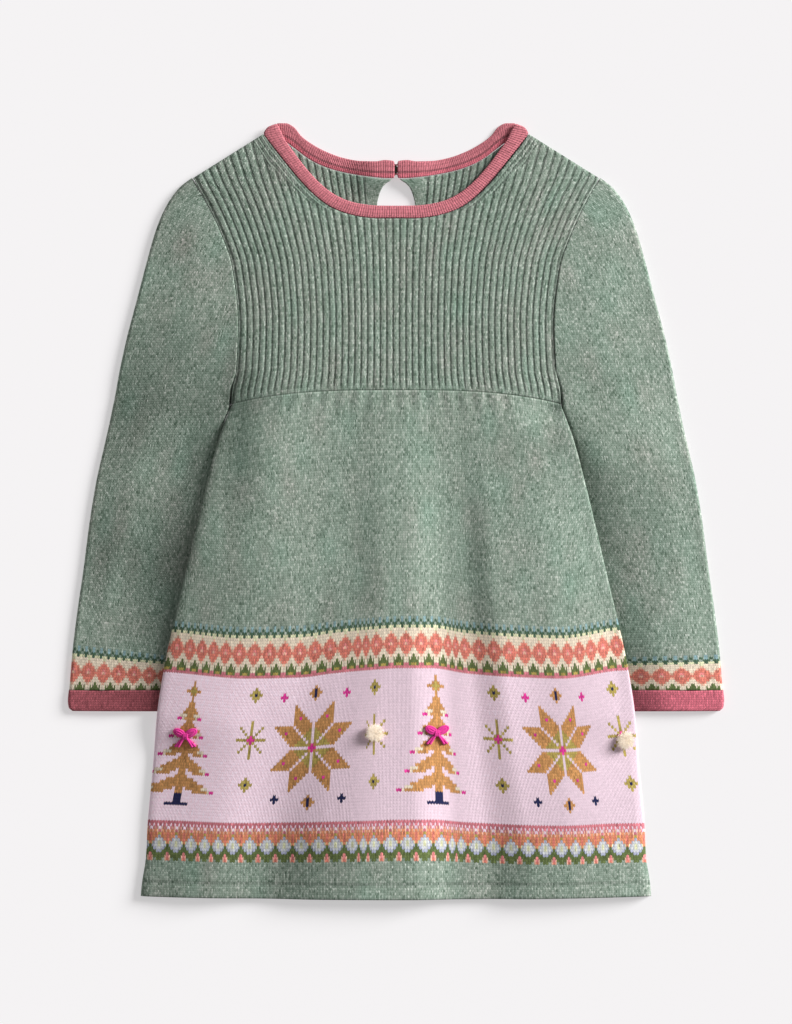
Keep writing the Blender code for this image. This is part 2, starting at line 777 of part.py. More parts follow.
def yarn_tie(trim):
    """A small flat bow of yarn: four lobes round a raised knot."""
    solid = Solid(trim.name, MAGENTA)
    count = 32
    rings = []
    for share, high in ((1.0, 0.0), (1.0, 0.5), (0.86, 1.0), (0.5, 0.85), (0.26, 1.35)):
        ring = []
        for k in range(count):
            angle = 2.0 * math.pi * k / count
            lobe = 0.34 + 0.66 * abs(math.sin(2.0 * angle)) ** 1.2
            if math.sin(angle) < 0.0:
                lobe *= 0.88
            reach = trim.size * (lobe if share > 0.3 else 0.45) * share
            x = trim.x + 1.12 * reach * math.cos(angle)
            y = trim.y + 0.86 * reach * math.sin(angle)
            ring.append((x, y, skirt_outside(x, y) + SEAM + 1.6 * high))
        rings.append(ring)
    solid.grid([ring + ring[:1] for ring in rings])
    top = skirt_outside(trim.x, trim.y) + SEAM
    solid.fan((trim.x, trim.y, top), rings[0])
    solid.fan((trim.x, trim.y, top + 1.6 * 1.45), rings[-1])
    return solid.finish_mesh()


def neck_button():
    """A shank button on the outside of the back neck."""
    solid = Solid("neck_button", BUTTON_GREEN)
    top = NECK_LIFT - SEAM
    profile = [(0.7, 0.0), (1.0, 0.3), (1.0, 0.8), (0.8, 1.0)]
    levels = [(BUTTON.radius * r, BUTTON.head * h) for r, h in profile]
    levels += [(BUTTON.shank_radius, BUTTON.head), (BUTTON.shank_radius, top)]
    rings = []
    for radius, z in levels:
        angles = [2.0 * math.pi * k / 20 for k in range(20)]
        rings.append([(BUTTON.x + radius * math.cos(a), BUTTON.y + radius * math.sin(a), z)
                      for a in angles])
    solid.grid([ring + ring[:1] for ring in rings])
    solid.fan((BUTTON.x, BUTTON.y, 0.0), rings[0])
    solid.fan((BUTTON.x, BUTTON.y, top), rings[-1])
    return solid.finish_mesh()


def button_loop():
    """A loop of yarn from the right end of the band, round the button's shank."""
    solid = Solid("button_loop", ROSE)
    level = BUTTON.head + SEAM + LOOP_YARN
    stations = 20
    reach_left = BUTTON.x - BUTTON.shank_radius - SEAM - LOOP_YARN
    reach_right = 6.4
    centre_x = 0.5 * (reach_left + reach_right)
    half_x = 0.5 * (reach_right - reach_left)
    half_y = BUTTON.shank_radius + SEAM + LOOP_YARN + 1.1
    rows = []
    for k in range(stations + 1):
        angle = 2.0 * math.pi * (k % stations) / stations
        middle = Vector((centre_x + half_x * math.cos(angle), BUTTON.y + half_y * math.sin(angle), level))
        away = Vector((half_y * math.cos(angle), half_x * math.sin(angle), 0.0)).normalized()
        ring = []
        for side in range(6):
            turn = 2.0 * math.pi * (side + 0.5) / 6
            ring.append(middle + LOOP_YARN * (away * math.cos(turn) + Vector((0, 0, math.sin(turn)))))
        rows.append(ring + ring[:1])
    solid.grid(rows)
    return solid.finish_mesh()


def main():
    for thing in list(bpy.data.objects):
        bpy.data.objects.remove(thing, do_unlink=True)
    front_yoke()
    back_yoke()
    front_skirt()
    back_skirt()
    tube("sleeve_left", GREEN, SLEEVE, -1, SLEEVE_WALL)
    tube("sleeve_right", GREEN, SLEEVE, 1, SLEEVE_WALL)
    tube("cuff_left", ROSE, CUFF, -1, CUFF_WALL)
    tube("cuff_right", ROSE, CUFF, 1, CUFF_WALL)
    neckbands()
    for trim in POMPOMS:
        pompom(trim)
    for trim in YARN_TIES:
        yarn_tie(trim)
    neck_button()
    button_loop()


main()
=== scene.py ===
"""Looks of a child's fair isle sweater dress, laid flat: every knitted piece stitch by stitch.

Sizes in the tables are in millimetres. X runs to the right, +Y towards the neck, +Z up. The plain
walls of the frame carry fine sheets here, in which each stitch is a pair of slanted legs.
"""
import math
from collections import namedtuple

import bmesh
import bpy
import numpy as np
from bpy.props import FloatProperty, FloatVectorProperty, IntProperty, PointerProperty
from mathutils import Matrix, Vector


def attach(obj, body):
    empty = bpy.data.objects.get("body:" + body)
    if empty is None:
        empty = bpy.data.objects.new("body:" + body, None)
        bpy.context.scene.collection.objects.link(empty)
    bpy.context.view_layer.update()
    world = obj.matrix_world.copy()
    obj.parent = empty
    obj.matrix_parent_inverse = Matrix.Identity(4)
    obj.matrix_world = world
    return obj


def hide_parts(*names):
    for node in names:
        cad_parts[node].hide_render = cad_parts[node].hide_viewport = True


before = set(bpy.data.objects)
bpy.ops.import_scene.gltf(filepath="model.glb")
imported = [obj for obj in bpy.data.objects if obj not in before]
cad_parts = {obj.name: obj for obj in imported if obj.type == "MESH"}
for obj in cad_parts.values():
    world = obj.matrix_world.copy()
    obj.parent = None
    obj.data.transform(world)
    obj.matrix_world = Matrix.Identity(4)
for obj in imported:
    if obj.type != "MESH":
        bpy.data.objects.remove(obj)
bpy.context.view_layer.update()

bl_info = {
    "name": "Fair Isle Sweater Dress",
    "version": (1, 0, 0),
    "blender": (4, 5, 0),
    "location": "3D View > Sidebar > Dress",
    "description": "Knits the panels, bands and trims of a child's sweater dress",
    "category": "Object",
}

MM = 0.001

# ------------------------------------------------------------------ sizes of the plain walls


def table(columns, *rows):
    """Rows with named columns."""
    row_type = namedtuple("Row", columns)
    return [row_type(*row) for row in rows]


# gap between pieces at a seam, thickness of the walls and radius of their edges
SEAM = 0.3
PLAIN_WALL = 1.8
SLEEVE_WALL = 1.6
CUFF_WALL = 1.7
NECK_BAND_WALL = 2.0
BACK_BAND_WALL = 1.9
EDGE_ROUND = 2.4
UNDER_ROUND = 1.6
SLEEVE_ROUND = 1.9
BAND_ROUND = 1.4
# the skirt's join and its hem on the middle line, how far each bends at the sides, and its half
# width
JOIN = 77.8
JOIN_DROP = 8.8
JOIN_HALF = 105.0
HEM = -247.4
HEM_RISE = 2.0
HEM_HALF = 163.0
# distance below the join over which the skirt takes the yoke's height
JOIN_FADE = 16.0
# least room under the front skirt, more of it at the join, and how far in from a side it is full
PUFF_LEAST = 0.2
PUFF_JOIN = 0.4
PUFF_SIDE = 8.0
# the hem's fold: courses below it, its step and the groove at it
HEM_COURSES = 7
HEM_STEP = 0.4
HEM_GROOVE = 0.45
# walls under the ribs and the ribs over them, their counts, and the plain share at each side
RIB_BASE = 1.3
RIB_HEIGHT = 0.8
BACK_RIB_BASE = 1.3
BACK_RIB_HEIGHT = 0.7
FRONT_RIBS = 49
BACK_RIBS_HALF = 25
YOKE_STRIP = 0.008
BACK_RIBBED = 0.42
# room under the front yoke at its edge, how far the yoke rises from there, and over what distance
YOKE_ROOM = 0.35
YOKE_RISE = 0.9
YOKE_CROWN = 40.0
# small gathers below the join
GATHERS = 16
GATHER_HEIGHT = 0.55
GATHER_FADE = 26.0
GATHER_SIDE = 26.0
# the skirt's sides lie on the sleeves: height, ramps of the back and front, where they rise and end
SLEEVE_TUCK_HEIGHT = 4.0
TUCK_RAMP = 22.0
FRONT_RAMP = 58.0
TUCK_TOP = 70.0
TUCK_TOP_FADE = 26.0
TUCK_END = -158.0
TUCK_END_FADE = 30.0
TUCK_OVERLAP = 1.4
SLEEVE_BESIDE = (-114.2, 74.0)
# the back of the neck stands up over its button: height, where it starts and its ramps
NECK_LIFT = 3.1
NECK_LIFT_HALF = 34.0
NECK_LIFT_FADE = 22.0
NECK_LIFT_FROM = 198.0
NECK_LIFT_RAMP = 14.0
# the back of the skirt reaches out to the sleeve from this level to the underarm
CORNER_FROM = 36.0
CORNER_FADE = 6.0
UNDERARM = 74.2

ARMHOLE = table(
    "y half",
    (241.4, 141.3), (213.4, 129.6), (199.4, 121.9), (177.6, 111.7), (156.5, 104.6), (120.6, 100.9),
    (91.8, 102.0), (76.5, 105.0), (60.0, 106.0),
)
SKIRT_SIDE = table(
    "y half",
    (80.0, 101.0), (68.8, 105.2), (42.6, 114.4), (15.0, 121.6), (-20.2, 130.0), (-49.0, 136.7),
    (-78.4, 143.7), (-98.9, 147.9), (-127.0, 152.3), (-165.4, 155.6), (-200.0, 158.8),
    (-219.8, 159.8), (-239.7, 162.7), (-250.0, 163.4),
)
KEYHOLE = table(
    "y half",
    (216.0, 2.4), (212.6, 2.4), (209.0, 7.6), (202.6, 10.8), (196.8, 12.1), (189.0, 12.3),
    (182.0, 10.2), (177.0, 6.2), (174.0, 0.0),
)
# crests and troughs that run down the front skirt, from its left side to its right
CREASES = table(
    "x_top x_mid x_hem z_top z_mid z_hem",
    (-108.0, -134.0, -164.0, 0.4, 0.8, 0.6),
    (-84.0, -92.0, -122.0, 1.4, 4.6, 4.2),
    (-50.0, -48.0, -86.0, 0.8, 2.2, 0.8),
    (-28.0, -29.0, -50.0, 0.8, 3.0, 5.0),
    (-4.0, -6.0, -12.0, 1.8, 6.4, 5.9),
    (4.0, 6.0, 12.0, 1.8, 6.4, 5.9),
    (30.0, 34.0, 42.0, 0.6, 1.2, 0.7),
    (38.0, 43.0, 58.0, 0.6, 1.0, 0.7),
    (58.0, 62.0, 90.0, 1.2, 4.8, 5.2),
    (80.0, 92.0, 112.0, 1.4, 5.2, 5.0),
    (108.0, 134.0, 164.0, 0.2, 0.3, 1.2),
)
# share of the way down where the middle columns stand, and the grid that the creases are kept on
CREASE_MID = 0.36
CREASE_REACH = 180
CREASE_ROWS = 40
# steep flanks of creases, where more cloth lies than the plan's width
FLANKS = table(
    "start stop hidden",
    (-11.0, -39.0, 9.0), (27.0, 58.0, 11.0), (-108.0, -160.0, 8.0), (108.0, 160.0, 8.0),
)
# where down the skirt the flanks grow steep, as shares of its length
STEEP_TOP = 77.0
STEEP_LENGTH = 324.0
STEEP_FROM = 0.12
STEEP_OVER = 0.26

FRONT_BAND = table(
    "out_x out_y in_x in_y",
    (0.0, 187.8, 0.0, 195.8), (12.4, 187.7, 11.6, 195.9), (23.0, 188.7, 21.0, 196.8),
    (33.7, 191.4, 30.2, 198.9), (42.2, 195.1, 37.2, 201.9), (49.7, 200.4, 43.6, 206.0),
    (56.1, 206.3, 49.6, 211.2), (62.5, 213.2, 55.5, 217.5), (68.9, 221.0, 61.4, 224.8),
    (74.2, 227.7, 66.3, 231.5), (79.6, 234.6, 71.0, 238.2), (84.5, 242.0, 73.8, 244.2),
    (82.3, 246.0, 76.2, 248.4),
)
BACK_BAND = table(
    "out_x out_y in_x in_y",
    (0.9, 213.2, 0.9, 224.4), (7.0, 213.3, 7.0, 225.0), (13.0, 213.8, 13.0, 224.2),
    (20.6, 214.8, 22.4, 224.5), (30.5, 216.6, 33.7, 226.6), (41.0, 219.2, 45.0, 230.7),
    (50.0, 222.6, 54.0, 235.6), (57.0, 226.6, 60.4, 240.4), (62.6, 230.8, 65.7, 246.6),
    (69.0, 235.6, 70.6, 248.8), (77.5, 240.4, 76.4, 248.8),
)
SHOULDER_TIP = (129.6, 213.4)
SHOULDER_NECK = (84.9, 241.4)

SLEEVE = table(
    "out_x out_y in_x in_y gap puff joined",
    (130.6, 213.7, 127.2, 208.6, 0.5, 0.0, 0),
    (138.3, 207.6, 123.2, 201.2, 0.7, 0.1, 0),
    (144.6, 199.6, 118.8, 192.2, 0.7, 0.4, 0),
    (150.0, 189.4, 114.4, 182.6, 0.7, 0.8, 0),
    (154.6, 177.0, 109.9, 171.6, 0.7, 1.2, 0),
    (158.7, 162.6, 106.0, 159.4, 0.7, 1.5, 0),
    (162.9, 146.6, 103.0, 144.4, 0.7, 1.8, 0),
    (167.4, 129.4, 101.5, 127.6, 0.7, 2.0, 0),
    (172.0, 112.0, 101.4, 110.0, 0.7, 2.1, 0),
    (176.6, 91.0, 103.7, 91.6, 0.7, 2.1, 0),
    (180.2, 71.4, 105.2, 74.2, 0.4, 2.0, 1),
    (181.2, 66.8, 105.6, 69.0, 0.4, 1.9, 1),
    (183.0, 58.0, 109.2, 59.0, 0.3, 1.8, 1),
    (186.4, 43.0, 114.5, 43.6, 0.3, 1.8, 1),
    (191.6, 20.0, 118.6, 20.0, 0.3, 2.2, 1),
    (196.2, -8.0, 123.0, -8.0, 0.3, 2.4, 1),
    (200.0, -37.4, 127.4, -37.4, 0.3, 2.0, 1),
    (203.6, -62.0, 132.0, -62.0, 0.3, 2.3, 1),
    (206.6, -86.0, 137.0, -86.0, 0.3, 1.9, 1),
    (209.0, -113.9, 142.2, -113.9, 0.3, 1.5, 1),
)
CUFF = table(
    "out_x out_y in_x in_y gap puff joined",
    (209.3, -114.2, 142.3, -114.2, 0.3, 1.5, 1),
    (209.9, -120.6, 143.4, -120.6, 0.3, 1.4, 1),
    (209.2, -125.4, 144.6, -125.6, 0.3, 1.3, 1),
    (207.0, -127.2, 146.0, -127.4, 0.3, 1.2, 1),
)

POMPOMS = table(
    "name x y size",
    ("pompom_left", -13.4, -141.8, 5.7), ("pompom_right", 146.5, -146.9, 5.5),
)
YARN_TIES = table(
    "name x y size",
    ("yarn_tie_left", -134.4, -143.4, 7.6), ("yarn_tie_right", 26.2, -141.6, 7.6),
)

# ------------------------------------------------------------------ knitting tables

# width of a stitch down the skirt
SKIRT_WALES = table(
    "y width",
    (78.0, 1.49), (-20.0, 1.54), (-88.6, 1.60), (-150.0, 1.72), (-210.0, 1.83), (-250.0, 1.84),
)
WALES = 224
# middle line of the pale band
BAND_MIDDLE = -150.0

# stretches of the skirt down its middle line
SKIRT_STRETCHES = table(
    "name courses top bottom",
    ("plain", 93, JOIN, -66.2), ("upper_border", 18, -66.2, -99.5),
    ("pale_band", 48, -99.5, -196.2), ("lower_border", 14, -196.2, -222.4),
    ("hem", 16, -222.4, HEM),
)

# middle lines of the borders, and how far their courses dip away from the middle
UPPER_LEVEL = -82.9
LOWER_LEVEL = -209.0
WAVES = table(
    "x upper lower",
    (-170.0, -2.0, -0.4), (-148.0, -2.6, -0.6), (-93.0, -7.0, -2.2), (-61.0, -6.4, -1.8),
    (-40.0, -3.6, -1.2), (-17.0, -1.3, -0.6), (3.0, 0.0, 0.0), (22.0, -0.1, -0.1),
    (46.0, -3.8, -2.0), (75.0, -5.8, -3.2), (105.0, -6.8, -3.8), (143.0, -1.6, -2.6),
    (170.0, -1.0, -2.8),
)

# a letter is a yarn and fills one leg of a stitch: a border repeats every six stitches, top course
# first
UPPER_BORDER = (
    "GGBBGGGGBBGG",
    "DGBBGDDGBBGD",
    "GDDDDGGDDDDG",
    "YYDDYYYYDDYY",
    "CCCCCYYCCCCC",
    "CCCCCNNCCCCC",
    "CCCNXXXXNCCC",
    "CNXXXXXXXXNC",
    "NXXXXKKXXXXN",
    "XXXXKNNKXXXX",
    "NXXXXXXXXXXN",
    "CCXXXXXXXXCC",
    "CCCNXXXXNCCC",
    "LCCCCNNCCCCL",
    "LLCLCCCCLCLL",
    "LLLLCCCCLLLL",
    "MMLLRRRRLLMM",
    "RRRRRRRRRRRR",
)
LOWER_BORDER = (
    "RRRRRRRRRRRR",
    "RPRRPRRPRRPR",
    "PRNRNPPNRNRP",
    "ONOONRRNOONO",
    "XOOXOMMOXOOX",
    "XOOOOIIOOOOX",
    "XOOIWWWWIOOX",
    "OYIWWYYWWIYO",
    "LIWWWYYWWWIL",
    "LLIIWWWWIILL",
    "LLLLIIIILLLL",
    "KLLLLLLLLLLK",
    "KNLLLLLLLLNK",
    "XNGGLLLLGGNX",
)

# motifs of the pale band, and how many courses each stands over the band's middle
MOTIFS = table(
    "kind x lift",
    ("fir", -134.0, 0), ("star", -54.0, 0), ("fir", 26.0, 0), ("star", 106.0, 0),
    ("cross", -94.0, 3), ("cross", -14.0, 3), ("cross", 66.0, 3), ("cross", 146.0, 3),
)
# stitches that a motif may reach across and down from its middle
MOTIF_REACH = (18, 21)

# distance of the lowest neck rib from the band, out from the middle
NECK_RIBS = table(
    "x reach",
    (37.0, 0.0), (48.0, 3.0), (68.0, 6.7), (86.0, 8.6), (95.0, 8.8),
)
NECK_RIB = 2.7


def srgb(red, green, blue):
    """Screen colour, 0 to 255, as a scene colour."""
    levels = [level / 255.0 for level in (red, green, blue)]
    return tuple(v / 12.92 if v <= 0.04045 else ((v + 0.055) / 1.055) ** 2.4 for v in levels)


def hue(name, red, green, blue):
    """Colour property of one yarn."""
    return FloatVectorProperty(
        name=name, description=f"Colour of the {name.lower()} yarn", subtype="COLOR", size=3,
        default=srgb(red, green, blue), min=0.0, max=1.0)


def measure(name, description, millimetres):
    """Length property, kept in metres."""
    return FloatProperty(
        name=name, description=description, default=millimetres * MM, min=0.0,
        subtype="DISTANCE", unit="LENGTH")


def strength(name, description, default):
    """Strength of a light."""
    return FloatProperty(name=name, description=description, default=default, min=0.0)


def turned(name, description, degrees):
    """Angle property, kept in radians."""
    return FloatProperty(name=name, description=description, subtype="ANGLE",
                         default=math.radians(degrees))


class DressYarns(bpy.types.PropertyGroup):
    """Colours of the yarns."""
    ground: hue("Sage ground", 141, 157, 143)
    pale_fleck: hue("Pale fleck", 192, 201, 190)
    deep_fleck: hue("Deep fleck", 88, 108, 92)
    sky: hue("Light blue", 134, 164, 168)
    bottle: hue("Bottle green", 72, 98, 78)
    lime: hue("Pale lime", 214, 214, 176)
    cream: hue("Cream", 230, 214, 192)
    coral: hue("Coral", 214, 124, 108)
    blush: hue("Coral pink", 228, 138, 138)
    peach: hue("Peach", 230, 180, 156)
    leaf: hue("Leaf green", 98, 112, 66)
    mustard: hue("Mustard", 176, 156, 84)
    rose: hue("Rose", 206, 122, 132)
    # the cuffs' one rose: the left cuff's copy is darker with painted shade, the right cuff's lighter
    # with painted light
    cuff_rose_shaded: hue("Deep rose", 176, 94, 103)
    cuff_rose_lit: hue("Middle rose", 206, 108, 124)
    pale_pink: hue("Pale pink", 243, 217, 230)
    orange: hue("Soft orange", 216, 140, 104)
    frost: hue("Frost", 208, 210, 212)
    lilac: hue("Lilac", 172, 176, 198)
    camel: hue("Camel", 196, 142, 88)
    magenta: hue("Magenta", 222, 58, 150)
    navy: hue("Navy", 34, 38, 78)
    floor: hue("Floor", 243, 241, 242)


class DressSizes(bpy.types.PropertyGroup):
    """Sizes of the knit and strength of the light."""
    plain_course: measure("Plain course", "Height of a course of plain knit", 1.55)
    relief: measure("Stitch relief", "How far the middle of a stitch stands up", 0.12)
    sleeve_wale: measure("Sleeve stitch", "Width of a stitch on the sleeves", 1.63)
    band_rib: measure("Band rib", "Pitch of the ribs across the neckband", 1.5)
    strand: measure("Pompom strand", "Thickness of a strand of a pompom", 0.3)
    strands: IntProperty(name="Strands", description="Strands of a pompom", default=1100, min=100)
    slant: FloatProperty(
        name="Stitch slant", description="Rise of a stitch's legs, as a share of its course",
        default=0.24, min=0.0, max=0.5)
    key_light: strength("Key light", "Strength of the soft light at the upper right", 5.3)
    key_rise: turned("Key rise", "Height of the key light over the floor", 23.0)
    key_turn: turned("Key turn", "Direction of the key light, from +X towards +Y", 26.0)
    key_spread: turned("Key spread", "Width of the key light as seen from the dress", 26.0)
    room_light: strength("Room light", "Strength of the even light", 0.24)
    floor_glow: strength("Floor glow", "Light of the floor itself, which softens its shadows", 0.515)
    camera_height: measure("Camera height", "Height of the camera over the dress", 2400.0)


# ------------------------------------------------------------------ surfaces of the walls


def smooth(t):
    t = np.clip(t, 0.0, 1.0)
    return t * t * (3.0 - 2.0 * t)


def lerp(a, b, t):
    return a + (b - a) * t


def coords(*parts):
    """Arrays as the coordinates of one grid."""
    return np.stack(np.broadcast_arrays(*parts), -1)


def by_turns(count, even, odd):
    """Two numbers in turn along a row."""
    return np.where(np.arange(count) % 2 == 0, even, odd)[None, :]


def curve_through(xs, ys):
    """Smooth curve through points in order, straight past its ends, for numbers or arrays."""
    xs = np.asarray(xs, float)
    ys = np.asarray(ys, float)
    steps = np.diff(ys) / np.diff(xs)
    before, after = steps[:-1], steps[1:]
    total = np.where(before * after > 0.0, before + after, 1.0)
    inner = np.where(before * after > 0.0, 2.0 * before * after / total, 0.0)
    slopes = np.concatenate([steps[:1], inner, steps[-1:]])

    def value_at(x):
        x = np.asarray(x, float)
        i = np.clip(np.searchsorted(xs, x, side="right") - 1, 0, len(xs) - 2)
        h = xs[i + 1] - xs[i]
        t = np.clip((x - xs[i]) / h, 0.0, 1.0)
        a = (1.0 + 2.0 * t) * (1.0 - t) ** 2 * ys[i] + t * (1.0 - t) ** 2 * h * slopes[i]
        b = t * t * (3.0 - 2.0 * t) * ys[i + 1] + t * t * (t - 1.0) * h * slopes[i + 1]
        past = steps[0] * np.minimum(0.0, x - xs[0]) + steps[-1] * np.maximum(0.0, x - xs[-1])
        return a + b + past

    return value_at


def table_curve(rows, key, value):
    pairs = sorted((getattr(row, key), getattr(row, value)) for row in rows)
    return curve_through(*zip(*pairs))


armhole_half = table_curve(ARMHOLE, "y", "half")
skirt_half = table_curve(SKIRT_SIDE, "y", "half")
keyhole_half = table_curve(KEYHOLE, "y", "half")
sleeve_inner = table_curve([row for row in SLEEVE + CUFF[:1] if row.joined], "in_y", "in_x")
wale_width = table_curve(SKIRT_WALES, "y", "width")
upper_wave = table_curve(WAVES, "x", "upper")
lower_wave = table_curve(WAVES, "x", "lower")
neck_rib_reach = table_curve(NECK_RIBS, "x", "reach")


def yoke_bottom(x):
    return JOIN - JOIN_DROP * np.minimum(1.0, np.abs(x) / JOIN_HALF) ** 3


def hem(x):
    return HEM + HEM_RISE * (x / HEM_HALF) ** 2


def below_band(rows):
    """The yoke's top edge under a band, then along the shoulder."""
    points = []
    for before, row, after in zip([rows[0]] + rows, rows, rows[1:] + [rows[-1]]):
        run = Vector((after.out_x - before.out_x, after.out_y - before.out_y))
        down = Vector((run.y, -run.x)).normalized() * (SEAM + 0.04)
        if row.out_x + down.x < SHOULDER_NECK[0] - 3.0:
            points.append((max(0.0, row.out_x + down.x), row.out_y + down.y))
    points[0] = (0.0, points[0][1])
    (x0, y0), (x1, y1) = SHOULDER_NECK, SHOULDER_TIP
    points += [SHOULDER_NECK, SHOULDER_TIP, (x1 + (x1 - x0), y1 + (y1 - y0))]
    xs, ys = zip(*sorted(points))
    return lambda x: np.interp(np.abs(x), xs, ys)


front_top = below_band(FRONT_BAND)
back_top_edge = below_band(BACK_BAND)


def shoulder_distance(x, y):
    run = Vector(SHOULDER_TIP) - Vector(SHOULDER_NECK)
    normal = Vector((run.y, -run.x)).normalized()
    return (np.abs(x) - SHOULDER_NECK[0]) * normal.x + (y - SHOULDER_NECK[1]) * normal.y


def yoke_edge(x, y):
    """Distance from the yoke's sides and shoulders."""
    return np.minimum(armhole_half(y) - np.abs(x), shoulder_distance(x, y))


def edge_drop(distance, radius=EDGE_ROUND):
    """Share of a wall's thickness lost to its rounded edge."""
    depth = 1.0 - np.clip(distance / radius, 0.0, 1.0)
    return 1.0 - np.sqrt(1.0 - depth ** 2)


def sleeve_beside(y):
    """Where the sleeve's inner edge runs beside the skirt."""
    return sleeve_inner(np.clip(y, *SLEEVE_BESIDE))


def tuck_lift(x, y, ramp=TUCK_RAMP):
    """How far the sleeves lift the skirt's sides."""
    along = smooth((TUCK_TOP - y) / TUCK_TOP_FADE) * smooth((y - TUCK_END) / TUCK_END_FADE)
    over = np.abs(x) - sleeve_beside(y) + TUCK_OVERLAP + ramp
    return SLEEVE_TUCK_HEIGHT * along * smooth(over / ramp)


def neck_lift(x, y):
    across = smooth((NECK_LIFT_HALF - np.abs(x)) / NECK_LIFT_FADE)
    return NECK_LIFT * across * smooth((y - NECK_LIFT_FROM) / NECK_LIFT_RAMP)


def crease_field():
    """Heights of the creases over a plan grid: across in millimetres, down as a share."""
    across = np.arange(-CREASE_REACH, CREASE_REACH + 1.0)
    field = []
    for down in np.linspace(0.0, 1.0, CREASE_ROWS + 1):
        if down < CREASE_MID:
            t, upper, lower = smooth(down / CREASE_MID), ("x_top", "z_top"), ("x_mid", "z_mid")
        else:
            t = (down - CREASE_MID) / (1.0 - CREASE_MID)
            upper, lower = ("x_mid", "z_mid"), ("x_hem", "z_hem")
        knots = [[lerp(getattr(row, high), getattr(row, low), t) for row in CREASES]
                 for high, low in zip(upper, lower)]
        field.append(curve_through(*knots)(across))
    return np.array(field)


CREASE_FIELD = crease_field()


def skirt_puff(x, y):
    """Room under the front of the skirt, with its creases."""
    down = np.clip((yoke_bottom(x) - y) / (yoke_bottom(x) - hem(x)), 0.0, 1.0)
    row = np.minimum(down * CREASE_ROWS, CREASE_ROWS - 0.001)
    column = np.clip(x + CREASE_REACH, 0.0, 2 * CREASE_REACH - 0.001)
    i, j = row.astype(int), column.astype(int)
    f, g = row - i, column - j
    high = lerp(CREASE_FIELD[i, j], CREASE_FIELD[i, j + 1], g)
    low = lerp(CREASE_FIELD[i + 1, j], CREASE_FIELD[i + 1, j + 1], g)
    height = PUFF_LEAST + np.maximum(0.0, lerp(high, low, f)) + PUFF_JOIN * (1.0 - down)
    side = smooth((skirt_half(y) - np.abs(x)) / PUFF_SIDE + 0.3)
    return height * side * smooth(down / 0.04 + 0.45)


def settled(run, y):
    """Where a place measured along the cloth lies in plan, on either side of the steep flanks."""
    steep = smooth(((STEEP_TOP - y) / STEEP_LENGTH - STEEP_FROM) / STEEP_OVER)
    shift = np.zeros_like(run)
    for flank in FLANKS:
        side = 1.0 if flank.stop > flank.start else -1.0
        shift = shift - side * flank.hidden * smooth((run - flank.start) / (flank.stop - flank.start))
    return run + shift * steep


def yoke_puff(x, y):
    return YOKE_ROOM + YOKE_RISE * smooth(yoke_edge(x, y) / YOKE_CROWN)


def yoke_inside(x, y):
    return BACK_RIB_BASE + BACK_RIB_HEIGHT + SEAM + yoke_puff(x, y)


def skirt_inside(x, y):
    level = PLAIN_WALL + tuck_lift(x, y, FRONT_RAMP) + SEAM + skirt_puff(x, y)
    joined = yoke_inside(x, yoke_bottom(x)) + RIB_BASE + 0.85 * RIB_HEIGHT - PLAIN_WALL
    return lerp(level, joined, smooth(1.0 - (yoke_bottom(x) - y) / JOIN_FADE))


def skirt_outside(x, y):
    return skirt_inside(x, y) + PLAIN_WALL


# slopes of the dress's broad swell across it, which the light shows more than the height: at the
# yoke, where the skirt starts, lower down and at the hem
LEANS = table(
    "x yoke start skirt hem",
    (-212.0, 0.10, 0.13, 0.13, 0.13),
    (-112.0, 0.11, 0.20, 0.18, 0.18),
    (-98.0, 0.10, 0.52, 0.22, 0.16),
    (-80.0, 0.07, 0.18, 0.17, 0.20),
    (-62.0, 0.03, 0.00, 0.02, 0.24),
    (-48.0, 0.02, 0.00, 0.01, 0.24),
    (-26.0, 0.01, 0.03, 0.01, 0.14),
    (-15.0, 0.00, 0.00, 0.00, 0.02),
    (22.0, 0.00, 0.00, 0.00, -0.10),
    (40.0, -0.01, -0.01, 0.00, -0.04),
    (60.0, -0.01, -0.01, -0.02, 0.00),
    (85.0, -0.05, -0.13, -0.14, 0.07),
    (96.0, -0.06, -0.12, -0.18, 0.06),
    (104.0, -0.07, 0.06, -0.19, 0.04),
    (115.0, -0.08, -0.10, -0.18, -0.04),
    (150.0, -0.06, -0.10, -0.12, -0.04),
    (175.0, -0.02, -0.02, -0.02, -0.02),
    (212.0, -0.02, -0.02, -0.02, -0.02),
)
SWELL_LEVELS = (130.0, 55.0, -30.0, -235.0)
# the skirt's right side turns up: how far in, and how steep
TURNED_EDGE = 10.0
TURNED_SLOPE = 0.32
# width of the valley on a sleeve beside the skirt, its slope, and what its lower part adds to it
Valley = namedtuple("Valley", "reach slope low")
VALLEYS = {-1: Valley(42.0, 0.40, 0.62), 1: Valley(24.0, 0.72, -0.25)}


def swell_rises():
    """Heights of the swell across the dress at each of its levels, from nothing in the middle."""
    across = np.arange(-212.0, 213.0, 1.0)
    rises = []
    for key in ("yoke", "start", "skirt", "hem"):
        slopes = np.interp(across, [row.x for row in LEANS], [getattr(row, key) for row in LEANS])
        rise = np.cumsum(slopes)
        rises.append(rise - rise[len(rise) // 2])
    return across, rises


SWELL_ACROSS, SWELL_RISES = swell_rises()


def swell(x, y):
    """Height of the broad swell, in millimetres."""
    height = np.interp(x, SWELL_ACROSS, SWELL_RISES[0])
    for rise, high, low in zip(SWELL_RISES[1:], SWELL_LEVELS, SWELL_LEVELS[1:]):
        below = smooth((high - y) / (high - low))
        height = lerp(height, np.interp(x, SWELL_ACROSS, rise), below)
    return height


def skirt_swell(x, y):
    """The same on the skirt, with its right side turned up."""
    edge = np.clip(x - skirt_half(y) + TURNED_EDGE, 0.0, TURNED_EDGE)
    return swell(x, y) + 0.5 * TURNED_SLOPE * edge ** 2 / TURNED_EDGE * smooth((y + 170.0) / 80.0)


